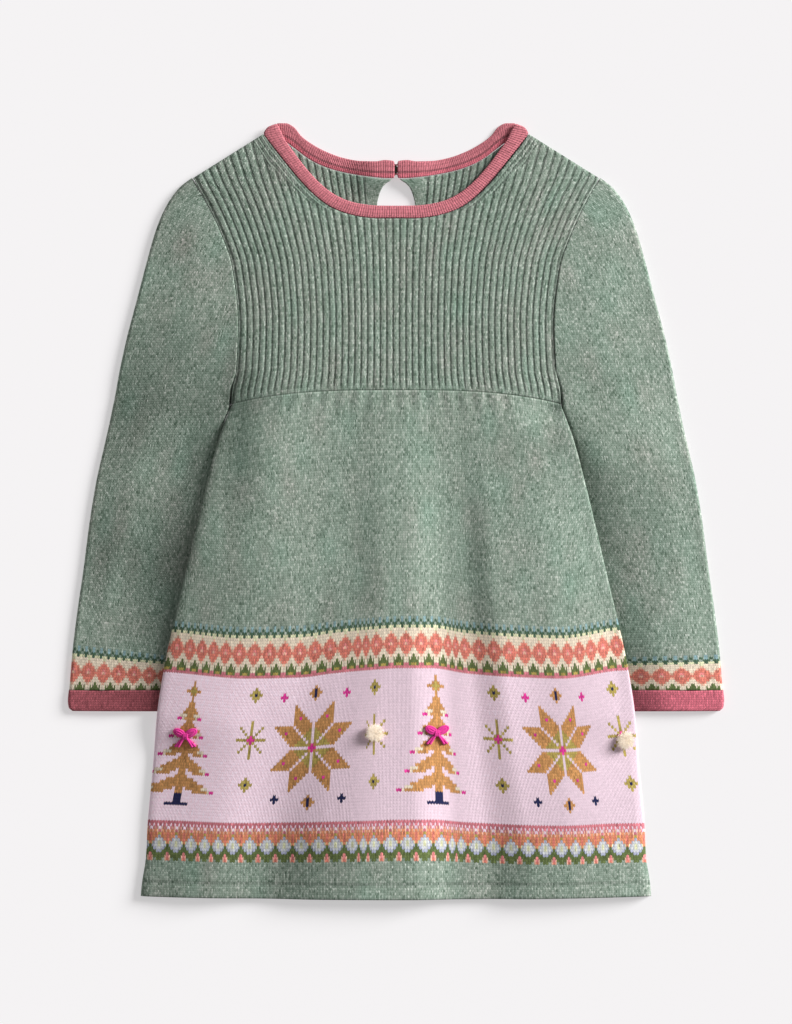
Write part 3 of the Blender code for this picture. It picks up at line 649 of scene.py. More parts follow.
def sleeve_swell(x, y):
    """The same on a sleeve, with the valley beside the skirt."""
    side = np.sign(x)
    low = np.exp(-((y + 48.0) / 42.0) ** 2)
    reach = np.where(x < 0, VALLEYS[-1].reach, VALLEYS[1].reach)
    left, right = (valley.slope + valley.low * low for valley in (VALLEYS[-1], VALLEYS[1]))
    slope = np.where(x < 0, left, right)
    away = np.clip(np.abs(x) - skirt_half(y), 0.0, reach)
    run = side * (away - 0.5 * away ** 2 / reach) * smooth((84.0 - y) / 60.0)
    return swell(x, y) + run * slope


# ------------------------------------------------------------------ knitted meshes


# painted shade over the small hollow under each arm: its place, its half sizes and how dark it is
HOLLOW = (105.4, 71.5)
HOLLOW_SIZE = (1.9, 6.5)
HOLLOW_SHADE = 0.72
# parts of the bake map: the outside of a piece, its hidden side and its rims
OUTER_AREA = (0.0, 0.0, 1.0, 0.94)
HIDDEN_AREA = (0.0, 0.97, 1.0, 1.0)
RIM_LEVEL = 0.955
# points closer than this are welded, in millimetres
WELD = 0.0005


def painted_underarm_shade(x, y):
    """Painted shade over the small hollow under each arm."""
    across = (np.abs(x) - HOLLOW[0]) / HOLLOW_SIZE[0]
    return 1.0 - HOLLOW_SHADE * np.exp(-across ** 2 - ((y - HOLLOW[1]) / HOLLOW_SIZE[1]) ** 2)


def full_index(rows, columns):
    """Which point each place of a full grid uses."""
    return np.arange(rows)[:, None] * columns + np.arange(columns)[None, :]


def ended_index(inside):
    """Which point each place uses where rows end one column past those inside: first, last, index."""
    low = inside.argmax(1) - 1
    high = inside.shape[1] - inside[:, ::-1].argmax(1)
    index = np.clip(full_index(1, inside.shape[1]), low[:, None], high[:, None])
    return low, high, index + np.arange(len(inside))[:, None] * inside.shape[1]


def corners_of(index):
    """The four points of each quad of a grid."""
    return np.stack([index[:-1, :-1], index[:-1, 1:], index[1:, 1:], index[1:, :-1]], -1).reshape(-1, 4)


class Cloth:
    """Sheets and rims of one piece, gathered before its mesh is made."""

    def __init__(self, name, rise=swell):
        self.name = name
        self.rise = rise
        self.count = 0
        self.points, self.corners, self.shades = [], [], []
        self.stitches, self.bakes, self.depths = [], [], []

    def sheet(self, points, shade, stitch, index=None, area=OUTER_AREA, depth=1.0):
        """Quads through a grid of points. index says which point each place of the grid uses, where
        rows or columns end early. Returns the grid in the piece's own numbering."""
        if index is None:
            index = full_index(*points.shape[:2])
        start = self.count
        self.points.append(points.reshape(-1, 3))
        self.count += len(self.points[-1])
        quads = corners_of(index)
        flat = stitch.reshape(-1, 2)
        used = np.unique(quads)
        low = flat[used].min(0)
        span = np.maximum(flat[used].max(0) - low, 1e-9)
        corner = np.array(area[:2])
        size = np.array(area[2:]) - corner
        centres = self.points[-1][quads].mean(1)
        shade = np.broadcast_to(shade, index[:-1, :-1].shape + (3,)).reshape(-1, 3)
        self.corners.append(quads + start)
        # every sheet takes the painted shade of the hollow under each arm
        self.shades.append(shade * painted_underarm_shade(centres[:, 0], centres[:, 1])[:, None])
        self.stitches.append(flat[quads])
        self.depths.append(np.broadcast_to(depth, index[:-1, :-1].shape).reshape(-1).copy())
        self.bakes.append(corner + size * np.clip((flat[quads] - low) / span, 0.0, 1.0))
        return index + start

    def rim(self, line_a, line_b, shade):
        """Triangles between two edges that may have different point counts."""
        everything = np.concatenate(self.points)

        def trimmed(line):
            line = np.asarray(line)
            line = line[np.insert(line[1:] != line[:-1], 0, True)]
            steps = np.linalg.norm(np.diff(everything[line][:, :2], axis=0), axis=1)
            share = np.insert(np.cumsum(steps), 0, 0.0)
            return line, share / max(share[-1], 1e-9)

        a, share_a = trimmed(line_a)
        b, share_b = trimmed(line_b)
        faces, places = [], []
        i = j = 0
        while i < len(a) - 1 or j < len(b) - 1:
            if j == len(b) - 1 or (i < len(a) - 1 and share_a[i + 1] <= share_b[j + 1]):
                faces.append((a[i], a[i + 1], b[j], b[j]))
                i += 1
            else:
                faces.append((a[i], b[j + 1], b[j], b[j]))
                j += 1
            places.append(share_a[i])
        places = np.array(places)
        self.corners.append(np.array(faces))
        self.shades.append(np.broadcast_to(shade, (len(faces), 3)))
        self.depths.append(np.ones(len(faces)))
        self.stitches.append(np.tile(coords(places * 40.0, places * 40.0)[:, None], (1, 4, 1)))
        self.bakes.append(np.tile(coords(places, RIM_LEVEL)[:, None], (1, 4, 1)))

    def cap(self, ring, shade):
        """Close the end of a tube."""
        half = len(ring) // 2
        self.rim(ring[:half + 1], ring[half:][::-1], shade)

    def finish(self, node, slot, material=None):
        """Weld the walls and make the object, of knitted wool if nothing else is given, in place of
        the frame's plain wall."""
        points, corners, shades, stitches, bakes, depths = (np.concatenate(parts) for parts in (
            self.points, self.corners, self.shades, self.stitches, self.bakes, self.depths))
        places = np.round(points / WELD).astype(np.int64)
        _, first, welded = np.unique(places, axis=0, return_index=True, return_inverse=True)
        corners = welded.reshape(-1)[corners]
        same = corners == np.roll(corners, -1, axis=1)
        crossed = (corners[:, 0] == corners[:, 2]) | (corners[:, 1] == corners[:, 3])
        quad = (same.sum(1) == 0) & ~crossed
        three = same.sum(1) == 1
        keep = ~same[three]
        tri = corners[three][keep].reshape(-1, 3)
        sound = (tri[:, 0] != tri[:, 1]) & (tri[:, 1] != tri[:, 2]) & (tri[:, 0] != tri[:, 2])
        tri = tri[sound]

        def per_corner(values):
            low = values[three][keep].reshape(-1, 3, 2)[sound]
            return np.concatenate([values[quad].reshape(-1, 2), low.reshape(-1, 2)])

        loops = np.concatenate([corners[quad].ravel(), tri.ravel()])
        quads = int(quad.sum())
        starts = np.concatenate([4 * np.arange(quads), 4 * quads + 3 * np.arange(len(tri))])
        mesh = bpy.data.meshes.new(self.name)
        mesh.vertices.add(len(first))
        mesh.vertices.foreach_set("co", (points[first] * MM).astype(np.float32).ravel())
        mesh.loops.add(len(loops))
        mesh.loops.foreach_set("vertex_index", loops.astype(np.int32))
        mesh.polygons.add(len(starts))
        mesh.polygons.foreach_set("loop_start", starts.astype(np.int32))
        mesh.update(calc_edges=True)
        for name, values in (("OFBake", bakes), ("Stitch", stitches)):
            layer = mesh.uv_layers.new(name=name)
            layer.data.foreach_set("uv", per_corner(values).astype(np.float32).ravel())
        rise = self.rise(points[first][:, 0], points[first][:, 1]) * MM
        rises = mesh.attributes.new("Swell", "FLOAT", "POINT").data
        rises.foreach_set("value", rise.astype(np.float32))
        colour = np.ones((len(starts), 4), np.float32)
        colour[:, :3] = np.concatenate([shades[quad], shades[three][sound]])
        colour[:, 3] = np.concatenate([depths[quad], depths[three][sound]])
        mesh.attributes.new("Yarn", "FLOAT_COLOR", "FACE").data.foreach_set("color", colour.ravel())
        work = bmesh.new()
        work.from_mesh(mesh)
        loose = [vert for vert in work.verts if not vert.link_faces]
        bmesh.ops.delete(work, geom=loose, context="VERTS")
        bmesh.ops.recalc_face_normals(work, faces=work.faces)
        work.to_mesh(mesh)
        work.free()
        mesh.shade_smooth()
        mesh.materials.append(material or made_once("knit_wool", wool))
        thing = bpy.data.objects.new(self.name, mesh)
        bpy.context.scene.collection.objects.link(thing)
        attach(thing, "root")
        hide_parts(node)
        return thing


def plan_area(x, y, index):
    """Flat area of a sheet of the cloth, in square metres."""
    grid = coords(x, y, 0.0).reshape(-1, 3)[index]
    one = np.cross(grid[1:, 1:] - grid[:-1, :-1], grid[1:, :-1] - grid[:-1, 1:])
    return 0.5 * float(np.linalg.norm(one, axis=-1).sum()) * MM * MM


# ------------------------------------------------------------------ yarn colours

LETTERS = {
    "G": "ground", "B": "sky", "D": "bottle", "Y": "lime", "C": "cream", "X": "coral",
    "K": "blush", "N": "peach", "L": "leaf", "M": "mustard", "R": "rose", "P": "pale_pink",
    "E": "cuff_rose_shaded", "Q": "cuff_rose_lit", "O": "orange", "W": "frost", "I": "lilac", "A": "camel",
    "U": "magenta", "V": "navy",
}
# how uneven a yarn's colour is from leg to leg, and the tint of the ground's patches
UNEVEN = {"P": 0.03, "V": 0.08, "W": 0.09, "I": 0.09, "C": 0.10}
USUAL_UNEVEN = 0.16
TINT = (-0.036, 0.008, -0.005)
# how strongly and how widely the ground is flecked, and the most of a fleck's yarn in one leg
FLECK = 0.46
FLECK_FROM = 0.08
FLECK_MOST = 0.95


def yarn(name):
    return np.array(getattr(bpy.context.scene.dress_yarns, name))


def mottle(rng, rows, columns, cell):
    """Soft random patches, about a cell across."""
    coarse = rng.normal(size=(rows // cell + 3, columns // cell + 3))
    down = np.linspace(0.0, coarse.shape[0] - 1.001, rows)
    over = np.linspace(0.0, coarse.shape[1] - 1.001, columns)
    i, j = down.astype(int), over.astype(int)
    f, g = smooth(down - i)[:, None], smooth(over - j)[None, :]
    high = lerp(coarse[i][:, j], coarse[i][:, j + 1], g)
    low = lerp(coarse[i + 1][:, j], coarse[i + 1][:, j + 1], g)
    return lerp(high, low, f)


def spin(letters, seed):
    """Colour of each leg of each stitch: sage heather with pale and deep flecks and soft greener
    and greyer patches, other yarns a little uneven."""
    rng = np.random.default_rng(seed)
    rows, legs = letters.shape
    tone = np.repeat(rng.normal(size=(rows, legs // 2 + 1)), 2, axis=1)[:, :legs]
    tone = 0.30 * tone + 0.86 * rng.normal(size=tone.shape) + 0.10 * mottle(rng, rows, legs, 9)
    tint = mottle(rng, rows, legs, 14)[..., None] * np.array(TINT)
    shade = np.zeros(letters.shape + (3,))
    for letter, name in LETTERS.items():
        mask = letters == letter
        if not mask.any():
            continue
        colour = yarn(name)
        here = tone[mask][:, None]
        if letter == "G":
            pale, deep = (np.clip(way * FLECK * here - FLECK_FROM, 0.0, FLECK_MOST) for way in (1, -1))
            mixed = colour * (1.0 - pale - deep) + yarn("pale_fleck") * pale
            shade[mask] = (mixed + yarn("deep_fleck") * deep) * (1.0 + tint[mask])
        else:
            shade[mask] = colour * (1.0 + UNEVEN.get(letter, USUAL_UNEVEN) * here)
    return np.clip(shade, 0.0, 1.0)


def plain_letters(letter, rows, legs):
    return np.full((rows, legs), letter, "<U1")


def charted(rows, wales, phase, repeat=6):
    """A border chart, repeated round the piece: a letter for each leg of a stitch."""
    legs = (np.arange(2 * wales) + 2 * phase) % (2 * repeat) * len(rows[0]) // (2 * repeat)
    return np.array([list(row) for row in rows])[:, legs]


def fir(u, v):
    """Yarn of a stitch of the fir tree, u across and v down from its middle, or none."""
    side = abs(u)
    if v <= -15:
        arm = side + abs(v + 18)
        if arm <= 3 and (side == 0 or v == -18 or arm <= 2):
            return "M" if arm <= 1 else "A"
        return None
    if v > 15:
        return "V" if side <= 1 and v <= 19 or v == 19 and side <= 4 else None
    tier, down = divmod(v + 14, 6)
    reach = 5 + 2.5 * tier
    outer = reach * (down + 1) / 6.0
    inner = reach * (down - 3) / 6.0
    if inner < side <= outer:
        if down == 5 and side > outer - 2:
            return "U"
        return "C" if down >= 4 and side > outer - 3 else "A"
    return "A" if side <= 1 else None


def eight_star(u, v):
    """Yarn of a stitch of the eight-pointed star, or none."""
    long, short = max(abs(u), abs(v)), min(abs(u), abs(v))
    if long <= 1:
        return "U" if long + short <= 1 else "A"
    if 1 <= short <= 7 and 1 <= long - short <= 7:
        if long + short <= 7:
            return "M"
        return "U" if short == 5 and long == 10 else "A"
    if u == 0 and abs(v) in (17, 18, 19):
        return "V"
    if abs(u) + abs(abs(v) - 18) <= 2:
        return "A"
    if abs(abs(u) - 12) + abs(abs(v) - 17) <= 1:
        return "V" if v > 0 else "U"
    return None


def snow_cross(u, v):
    """Yarn of a stitch of the small snow crystals, or none."""
    side, down = abs(u), abs(v)
    if side + down <= 1:
        return "U"
    if (side == down and side <= 4) or (side == 0 and down <= 6) or (down == 0 and side <= 5):
        return "M"
    if side + abs(down - 15) <= 2:
        return "V" if side + abs(down - 15) == 0 else "M"
    return None


DRAWN = {"fir": fir, "star": eight_star, "cross": snow_cross}


def pale_band_letters(rows):
    """The pale band with its firs, stars and snow crystals."""
    letters = plain_letters("P", rows, WALES)
    cloth = np.linspace(-190.0, 190.0, 381)
    plan = settled(cloth, np.full_like(cloth, BAND_MIDDLE))
    for motif in MOTIFS:
        wale = np.interp(motif.x, plan, cloth) / float(wale_width(BAND_MIDDLE))
        centre = WALES // 2 + math.floor(wale)
        middle = (rows - 1) // 2 - motif.lift
        for u in range(-MOTIF_REACH[0], MOTIF_REACH[0] + 1):
            for v in range(-MOTIF_REACH[1], MOTIF_REACH[1] + 1):
                letter = DRAWN[motif.kind](u, v)
                if letter and 0 <= centre + u < WALES and 0 <= middle + v < rows:
                    letters[middle + v, centre + u] = letter
    return letters


# painted light and shade on the pale yarn across the band: lighter towards the left, darkest where the
# key light is strongest
PALE_PAINTED_LIGHT = table(
    "x share",
    (-165.0, 1.16), (-140.0, 1.12), (-115.0, 1.05), (-60.0, 1.03), (-40.0, 0.98), (-18.0, 0.87),
    (12.0, 0.80), (32.0, 0.86), (46.0, 0.95), (64.0, 1.02), (80.0, 0.94), (100.0, 0.84),
    (120.0, 0.81), (165.0, 0.78),
)
pale_painted_light = table_curve(PALE_PAINTED_LIGHT, "x", "share")


def skirt_letters():
    """Yarn of each leg of each stitch of the skirt, course by course."""
    charts = {"upper_border": UPPER_BORDER, "lower_border": LOWER_BORDER}
    parts = []
    for stretch in SKIRT_STRETCHES:
        if stretch.name in charts:
            parts.append(charted(charts[stretch.name], WALES, 5 - WALES // 2 % 6))
        elif stretch.name == "pale_band":
            parts.append(np.repeat(pale_band_letters(stretch.courses), 2, axis=1))
        else:
            parts.append(plain_letters("G", stretch.courses, 2 * WALES))
    return np.concatenate(parts)


# ------------------------------------------------------------------ materials


class Value:
    """A number in a material: sums with it add Math nodes."""

    def __init__(self, tree, socket):
        self.tree = tree
        self.socket = socket

    def math(self, operation, *others):
        node = self.tree.nodes.new("ShaderNodeMath")
        node.operation = operation
        for slot, value in zip(node.inputs, (self,) + others):
            connect(self.tree, slot, value)
        return Value(self.tree, node.outputs[0])

    def __add__(self, other):
        return self.math("ADD", other)

    def __sub__(self, other):
        return self.math("SUBTRACT", other)

    def __rsub__(self, other):
        return (self * -1.0).math("ADD", other)

    def __mul__(self, other):
        return self.math("MULTIPLY", other)

    def __pow__(self, other):
        return self.math("POWER", other)

    def __abs__(self):
        return self.math("ABSOLUTE")

    __radd__ = __add__
    __rmul__ = __mul__


def connect(tree, slot, value):
    """Link a socket, or set it where the value is a plain number or colour."""
    if isinstance(value, Value):
        value = value.socket
    if isinstance(value, bpy.types.NodeSocket):
        tree.links.new(value, slot)
    else:
        slot.default_value = value


class Finish:
    """A material and the nodes that it is made of."""

    def __init__(self, name):
        self.material = bpy.data.materials.new(name)
        self.material.use_nodes = True
        self.tree = self.material.node_tree
        self.shader = self.tree.nodes["Principled BSDF"]

    def node(self, kind, settings=None, **values):
        """Add a node: its settings first, then the values or links of its sockets."""
        node = self.tree.nodes.new("ShaderNode" + kind)
        for key, value in (settings or {}).items():
            setattr(node, key, value)
        for key, value in values.items():
            connect(self.tree, node.inputs[key], value)
        return node

    def value(self, node, output):
        return Value(self.tree, node.outputs[output])

    def set(self, **values):
        for key, value in values.items():
            connect(self.tree, self.shader.inputs[key.replace("_", " ")], value)

    def attribute(self, name, output):
        return self.node("Attribute", {"attribute_name": name}).outputs[output]

    def noise(self, scale, detail):
        """Noise through the piece's own space, from 0 to 1."""
        spot = self.node("TexCoord").outputs["Object"]
        node = self.node("TexNoise", {"noise_dimensions": "3D"}, Vector=spot, Scale=scale, Detail=detail)
        return self.value(node, "Fac")

    def scaled(self, colour, factor):
        """A colour made lighter or darker by a number."""
        node = self.node("VectorMath", {"operation": "SCALE"}, Vector=colour)
        connect(self.tree, node.inputs["Scale"], factor)
        return node.outputs["Vector"]


# how strongly fibres show in the knit's colour, and how strong the painted shade in the gaps between
# stitches is
FUZZ = 0.12
GAPS = 0.62


def made_once(name, make):
    """A material that several pieces share."""
    return bpy.data.materials.get(name) or make(name)


def wool(name):
    """Knitted wool: round legs, painted shade in the gaps between stitches, fibres and a soft bloom."""
    finish = Finish(name)
    yarns = finish.node("Attribute", {"attribute_name": "Yarn"})
    stitch = finish.node("UVMap", {"uv_map": "Stitch"})
    split = finish.node("SeparateXYZ", Vector=stitch.outputs["UV"])
    wale = finish.value(split, "X").math("FRACT")
    course = finish.value(split, "Y").math("FRACT")
    across = abs(wale - 0.5) * 2.0
    leg = (across * math.pi).math("SINE").math("MAXIMUM", 0.0) ** 0.7
    loop = (course * math.pi).math("SINE").math("MAXIMUM", 0.0) ** 0.6
    between = (1.0 - across).math("MAXIMUM", 0.0) ** 0.35
    yarn_height = leg * (0.38 + 0.62 * loop)
    hair = finish.noise(1900.0, 3.0) - 0.5
    wisp = finish.noise(620.0, 2.0) - 0.5
    depth = finish.value(yarns, "Alpha") * GAPS
    # painted shade in the gaps between legs and between courses, lighter on the legs' crests
    shade = 1.11 - depth + depth * (0.90 * yarn_height + 0.42 * between)
    shade = shade + FUZZ * 3.0 * hair + FUZZ * wisp
    height = yarn_height * 0.75 + hair * 0.5 + wisp * 0.3
    broad = finish.node("Bump", Strength=1.0, Distance=1.0, Height=finish.attribute("Swell", "Fac"))
    bump = finish.node("Bump", Strength=0.55, Distance=0.00035, Height=height,
                       Normal=broad.outputs["Normal"])
    finish.set(Base_Color=finish.scaled(yarns.outputs["Color"], shade), Normal=bump.outputs["Normal"],
               Roughness=0.92, Specular_IOR_Level=0.18, Sheen_Weight=0.12, Sheen_Roughness=0.55)
    return finish.material


def loose_yarn(name, colour_name):
    """Loose yarn, uneven along its length."""
    finish = Finish(name)
    tufts = finish.noise(900.0, 3.0)
    bump = finish.node("Bump", Strength=0.4, Distance=0.0003, Height=tufts)
    finish.set(Base_Color=finish.scaled((*yarn(colour_name),), 1.0 + 0.24 * (tufts - 0.5)),
               Normal=bump.outputs["Normal"], Roughness=0.9, Specular_IOR_Level=0.2,
               Sheen_Weight=0.2, Sheen_Roughness=0.5)
    return finish.material


def strands(name):
    """Loose strands in their own colours, with painted light: a small glow that stands in for light
    passing through them.
    """
    finish = Finish(name)
    colour = finish.scaled(finish.attribute("Yarn", "Color"), 0.96 + 0.1 * finish.noise(900.0, 2.0))
    finish.set(Base_Color=colour, Roughness=0.9, Specular_IOR_Level=0.2, Sheen_Weight=0.3,
               Sheen_Roughness=0.5, Emission_Color=colour, Emission_Strength=0.22)
    return finish.material


# ------------------------------------------------------------------ skirt

# the pale band's stitches stand lower and have less painted shade in their gaps, and the hem's fold gets
# painted shade
PALE_RELIEF = 0.2
PALE_DEPTH = 0.16
FOLD_SHADE = 0.84


def course_line(x, middle):
    """Height of a course at x, from its height on the middle line."""
    levels = (HEM, LOWER_LEVEL, UPPER_LEVEL, JOIN)
    warps = (hem(x) - HEM, lower_wave(x), upper_wave(x), yoke_bottom(x) - JOIN)
    warp = np.zeros_like(x + middle)
    for i in range(3):
        t = (middle - levels[i]) / (levels[i + 1] - levels[i])
        inside = (t >= 0.0) & (t <= 1.0)
        warp = np.where(inside, lerp(warps[i], warps[i + 1], smooth(t)), warp)
    return middle + warp


def course_levels():
    levels = []
    for stretch in SKIRT_STRETCHES:
        levels += list(np.linspace(stretch.top, stretch.bottom, stretch.courses + 1)[:-1])
    return np.array(levels + [SKIRT_STRETCHES[-1].bottom])


def back_half(y):
    """Half width of the back of the skirt, which fills the corner under the arm."""
    beside = np.where(y > UNDERARM, JOIN_HALF, sleeve_beside(y) - 0.5 * SEAM)
    widest = np.maximum(skirt_half(y), beside)
    return lerp(skirt_half(y), widest, smooth((y - CORNER_FROM) / CORNER_FADE))


def skirt_grid(per_wale, slant, half_width=skirt_half):
    """Plan of the skirt's stitches, ended at its sides: x, y, index, wale and course numbers."""
    columns = np.arange(-WALES // 2 * per_wale, WALES // 2 * per_wale + 1) / per_wale
    levels = course_levels()
    rows = np.arange(len(levels))
    within = np.minimum(rows, rows[::-1])[:, None] > 0
    lean = by_turns(len(columns), slant, -slant) * np.gradient(-levels)[:, None]
    middle = levels[:, None] + lean * within
    y = middle
    for _ in range(4):
        x = settled(columns[None, :] * wale_width(y), y)
        y = course_line(x, middle)
    low, high, index = ended_index(np.abs(x) < half_width(y) - 0.3)
    for side, at in ((-1.0, low), (1.0, high)):
        edge_y = y[rows, at]
        for _ in range(4):
            edge_x = side * half_width(edge_y)
            edge_y = course_line(edge_x, levels)
        x[rows, at], y[rows, at] = edge_x, edge_y
    return x, y, index, coords(columns[None, :], rows[:, None])


def gather(x, y):
    """Small gathers where the skirt joins the yoke."""
    share = (x + skirt_half(y) - GATHER_SIDE) / (2.0 * (skirt_half(y) - GATHER_SIDE))
    fade = smooth((y - yoke_bottom(0.0) + GATHER_FADE) / GATHER_FADE)
    inside = smooth(share / 0.04) * smooth((1.0 - share) / 0.04)
    return GATHER_HEIGHT * fade * inside * np.sin(math.pi * GATHERS * share) ** 2


def coarse_skirt(surface, half_width=skirt_half):
    """A plain sheet of the skirt for its hidden side: points and stitches."""
    levels = np.linspace(JOIN - SEAM, HEM, 61)[:, None]
    share = np.linspace(-1.0, 1.0, 37)[None, :]
    y = np.tile(levels, (1, share.size))
    for _ in range(5):
        x = share * half_width(y)
        y = course_line(x, levels)
    return coords(x, y, surface(x, y)), coords(share * 90.0, -levels / 1.6)


def close_wall(cloth, outer, inner, shade, sides=("top", "bottom", "left", "right")):
    """Rims all round two sheets."""
    edges = {"top": (0, slice(None)), "bottom": (-1, slice(None)),
             "left": (slice(None), 0), "right": (slice(None), -1)}
    for side in sides:
        cloth.rim(outer[edges[side]], inner[edges[side]], shade)


def front_skirt(sizes):
    cloth = Cloth("front_skirt_knit", skirt_swell)
    x, y, index, stitch = skirt_grid(2, sizes.slant)
    letters = skirt_letters()
    pale = letters == "P"
    edge = skirt_half(y) - np.abs(x)
    course = np.arange(len(x))[:, None]
    fold = len(x) - HEM_COURSES
    wall = (PLAIN_WALL + gather(x, y)) * (1.0 - 0.5 * edge_drop(edge))
    wall = wall + HEM_STEP * smooth(edge / 3.0) * (course > fold) - HEM_GROOVE * (course == fold)
    relief = by_turns(x.shape[1], -sizes.relief / MM, 0.0) * smooth(edge / 2.0) * (course > 0)
    relief = relief * np.where(np.insert(pale[:, 0], 0, pale[0, 0])[:, None], PALE_RELIEF, 1.0)
    shade = spin(letters, 11)
    # painted shade along the hem's fold
    shade[fold - 1:fold + 1] *= FOLD_SHADE
    # painted light and shade on the pale band, by its place across the skirt
    tone = pale_painted_light(np.clip(0.5 * (x[1:, 1:] + x[1:, :-1]), PALE_PAINTED_LIGHT[0].x, PALE_PAINTED_LIGHT[-1].x))
    shade *= np.where(pale, tone, 1.0)[..., None]
    points = coords(x, y, skirt_inside(x, y) + wall + relief)
    outer = cloth.sheet(points, shade, stitch, index, depth=np.where(pale, PALE_DEPTH, 1.0))
    # the hidden side and rims take the ground yarn in painted shade
    painted_shade_colour = yarn("ground") * 0.8
    points, stitch = coarse_skirt(skirt_inside)
    inner = cloth.sheet(points, painted_shade_colour, stitch, area=HIDDEN_AREA)
    close_wall(cloth, outer, inner, painted_shade_colour)
    return cloth.finish("front_skirt", "green_wool"), plan_area(x, y, index)


def back_skirt():
    cloth = Cloth("back_skirt_knit")
    x, y, index, stitch = skirt_grid(1, 0.0, back_half)
    z = tuck_lift(x, y) + 0.6 * edge_drop(back_half(y) - np.abs(x), UNDER_ROUND)
    outer = cloth.sheet(coords(x, y, z), spin(skirt_letters()[:, ::2], 12), stitch, index)
    # the top face and rims, seen only in the corner under each arm, are in deep painted shade
    painted_shade_colour = yarn("ground") * 0.4
    points, stitch = coarse_skirt(lambda x, y: PLAIN_WALL + tuck_lift(x, y), back_half)
    inner = cloth.sheet(points, painted_shade_colour, stitch, area=HIDDEN_AREA)
    close_wall(cloth, outer, inner, painted_shade_colour)
    return cloth.finish("back_skirt", "green_wool"), plan_area(x, y, index)


# ------------------------------------------------------------------ yokes


def yoke_x(share, y):
    """Place across the yoke, for a share of its width."""
    return armhole_half(y) * (2.0 * share - 1.0)


def yoke_top(share, top_edge):
    """Where a column of the yoke meets its top edge."""
    low, high = np.full_like(share, 150.0), np.full_like(share, 250.0)
    for _ in range(40):
        middle = 0.5 * (low + high)
        below = middle < top_edge(yoke_x(share, middle))
        low, high = np.where(below, middle, low), np.where(below, high, middle)
    return np.where((share <= 0.0) | (share >= 1.0), SHOULDER_TIP[1], low)


# columns across a rib: place in it, height, wale number and how the leg leans
RIB_PROFILE = table(
    "place height wale lean",
    (0.00, 0.14, -0.5, 0.0), (0.14, 0.62, 0.0, 1.0), (0.32, 1.00, 0.5, -1.0),
    (0.50, 0.84, 1.0, 1.0), (0.68, 1.00, 1.5, -1.0), (0.86, 0.62, 2.0, 1.0),
)
# painted shade of the valleys between ribs, and how much it changes from stitch to stitch
VALLEY_SHADE = 0.42
VALLEY_SPREAD = 0.36
# painted shade over the back yoke's ribs, seen inside the neck
BACK_RIB_SHADE = 0.92
RIB_WALES = 3.0
# courses over which the ribs rise above the join, and over which the courses lose its bend
JOIN_COURSES = 3.0
BEND_COURSES = 60.0
# lowest level of the yoke's columns, and more than its length
YOKE_LOW = 77.0
YOKE_LENGTH = 176.0
# share of each rib of the neck that carries painted shade as its groove, that shade, and how strong the
# painted shade between the stitches is there
NECK_LINE = 0.42
NECK_LINE_SHADE = 0.46
NECK_DEPTH = 0.9


def rib_columns(start, stop, ribs):
    """Columns across a ribbed stretch: place, height, wale number and lean."""
    pitch = (stop - start) / ribs
    columns = [(start + (k + point.place) * pitch, point.height, RIB_WALES * k + point.wale, point.lean)
               for k in range(ribs) for point in RIB_PROFILE]
    return columns + [(stop, RIB_PROFILE[0].height, RIB_WALES * ribs - 0.5, 0.0)]


def side_columns(width):
    """Columns of the plain stitch at the yoke's side."""
    return [(0.0, 0.64, -1.0, 1.0), (0.5 * width, 0.78, -0.5, -1.0)]


def in_valley(height):
    """Which legs lie between two ribs, from the heights of the columns."""
    return 0.5 * (height[1:] + height[:-1]) < 0.5


def centres(grid):
    """Numbers in the middle of each quad of a grid."""
    return 0.25 * (grid[1:, 1:] + grid[:-1, 1:] + grid[1:, :-1] + grid[:-1, :-1])


band_edge = curve_through(*zip(*[(row.out_x, row.out_y) for row in FRONT_BAND[:-1]]))


def neck_distance(x, y):
    """Distance from the neckband, and how far its own ribs reach there."""
    side = np.abs(x)
    slope = band_edge(side + 1.0) - band_edge(side)
    distance = (band_edge(side) - SEAM - y) / np.sqrt(1.0 + slope ** 2)
    return distance, neck_rib_reach(np.minimum(side, 95.0))


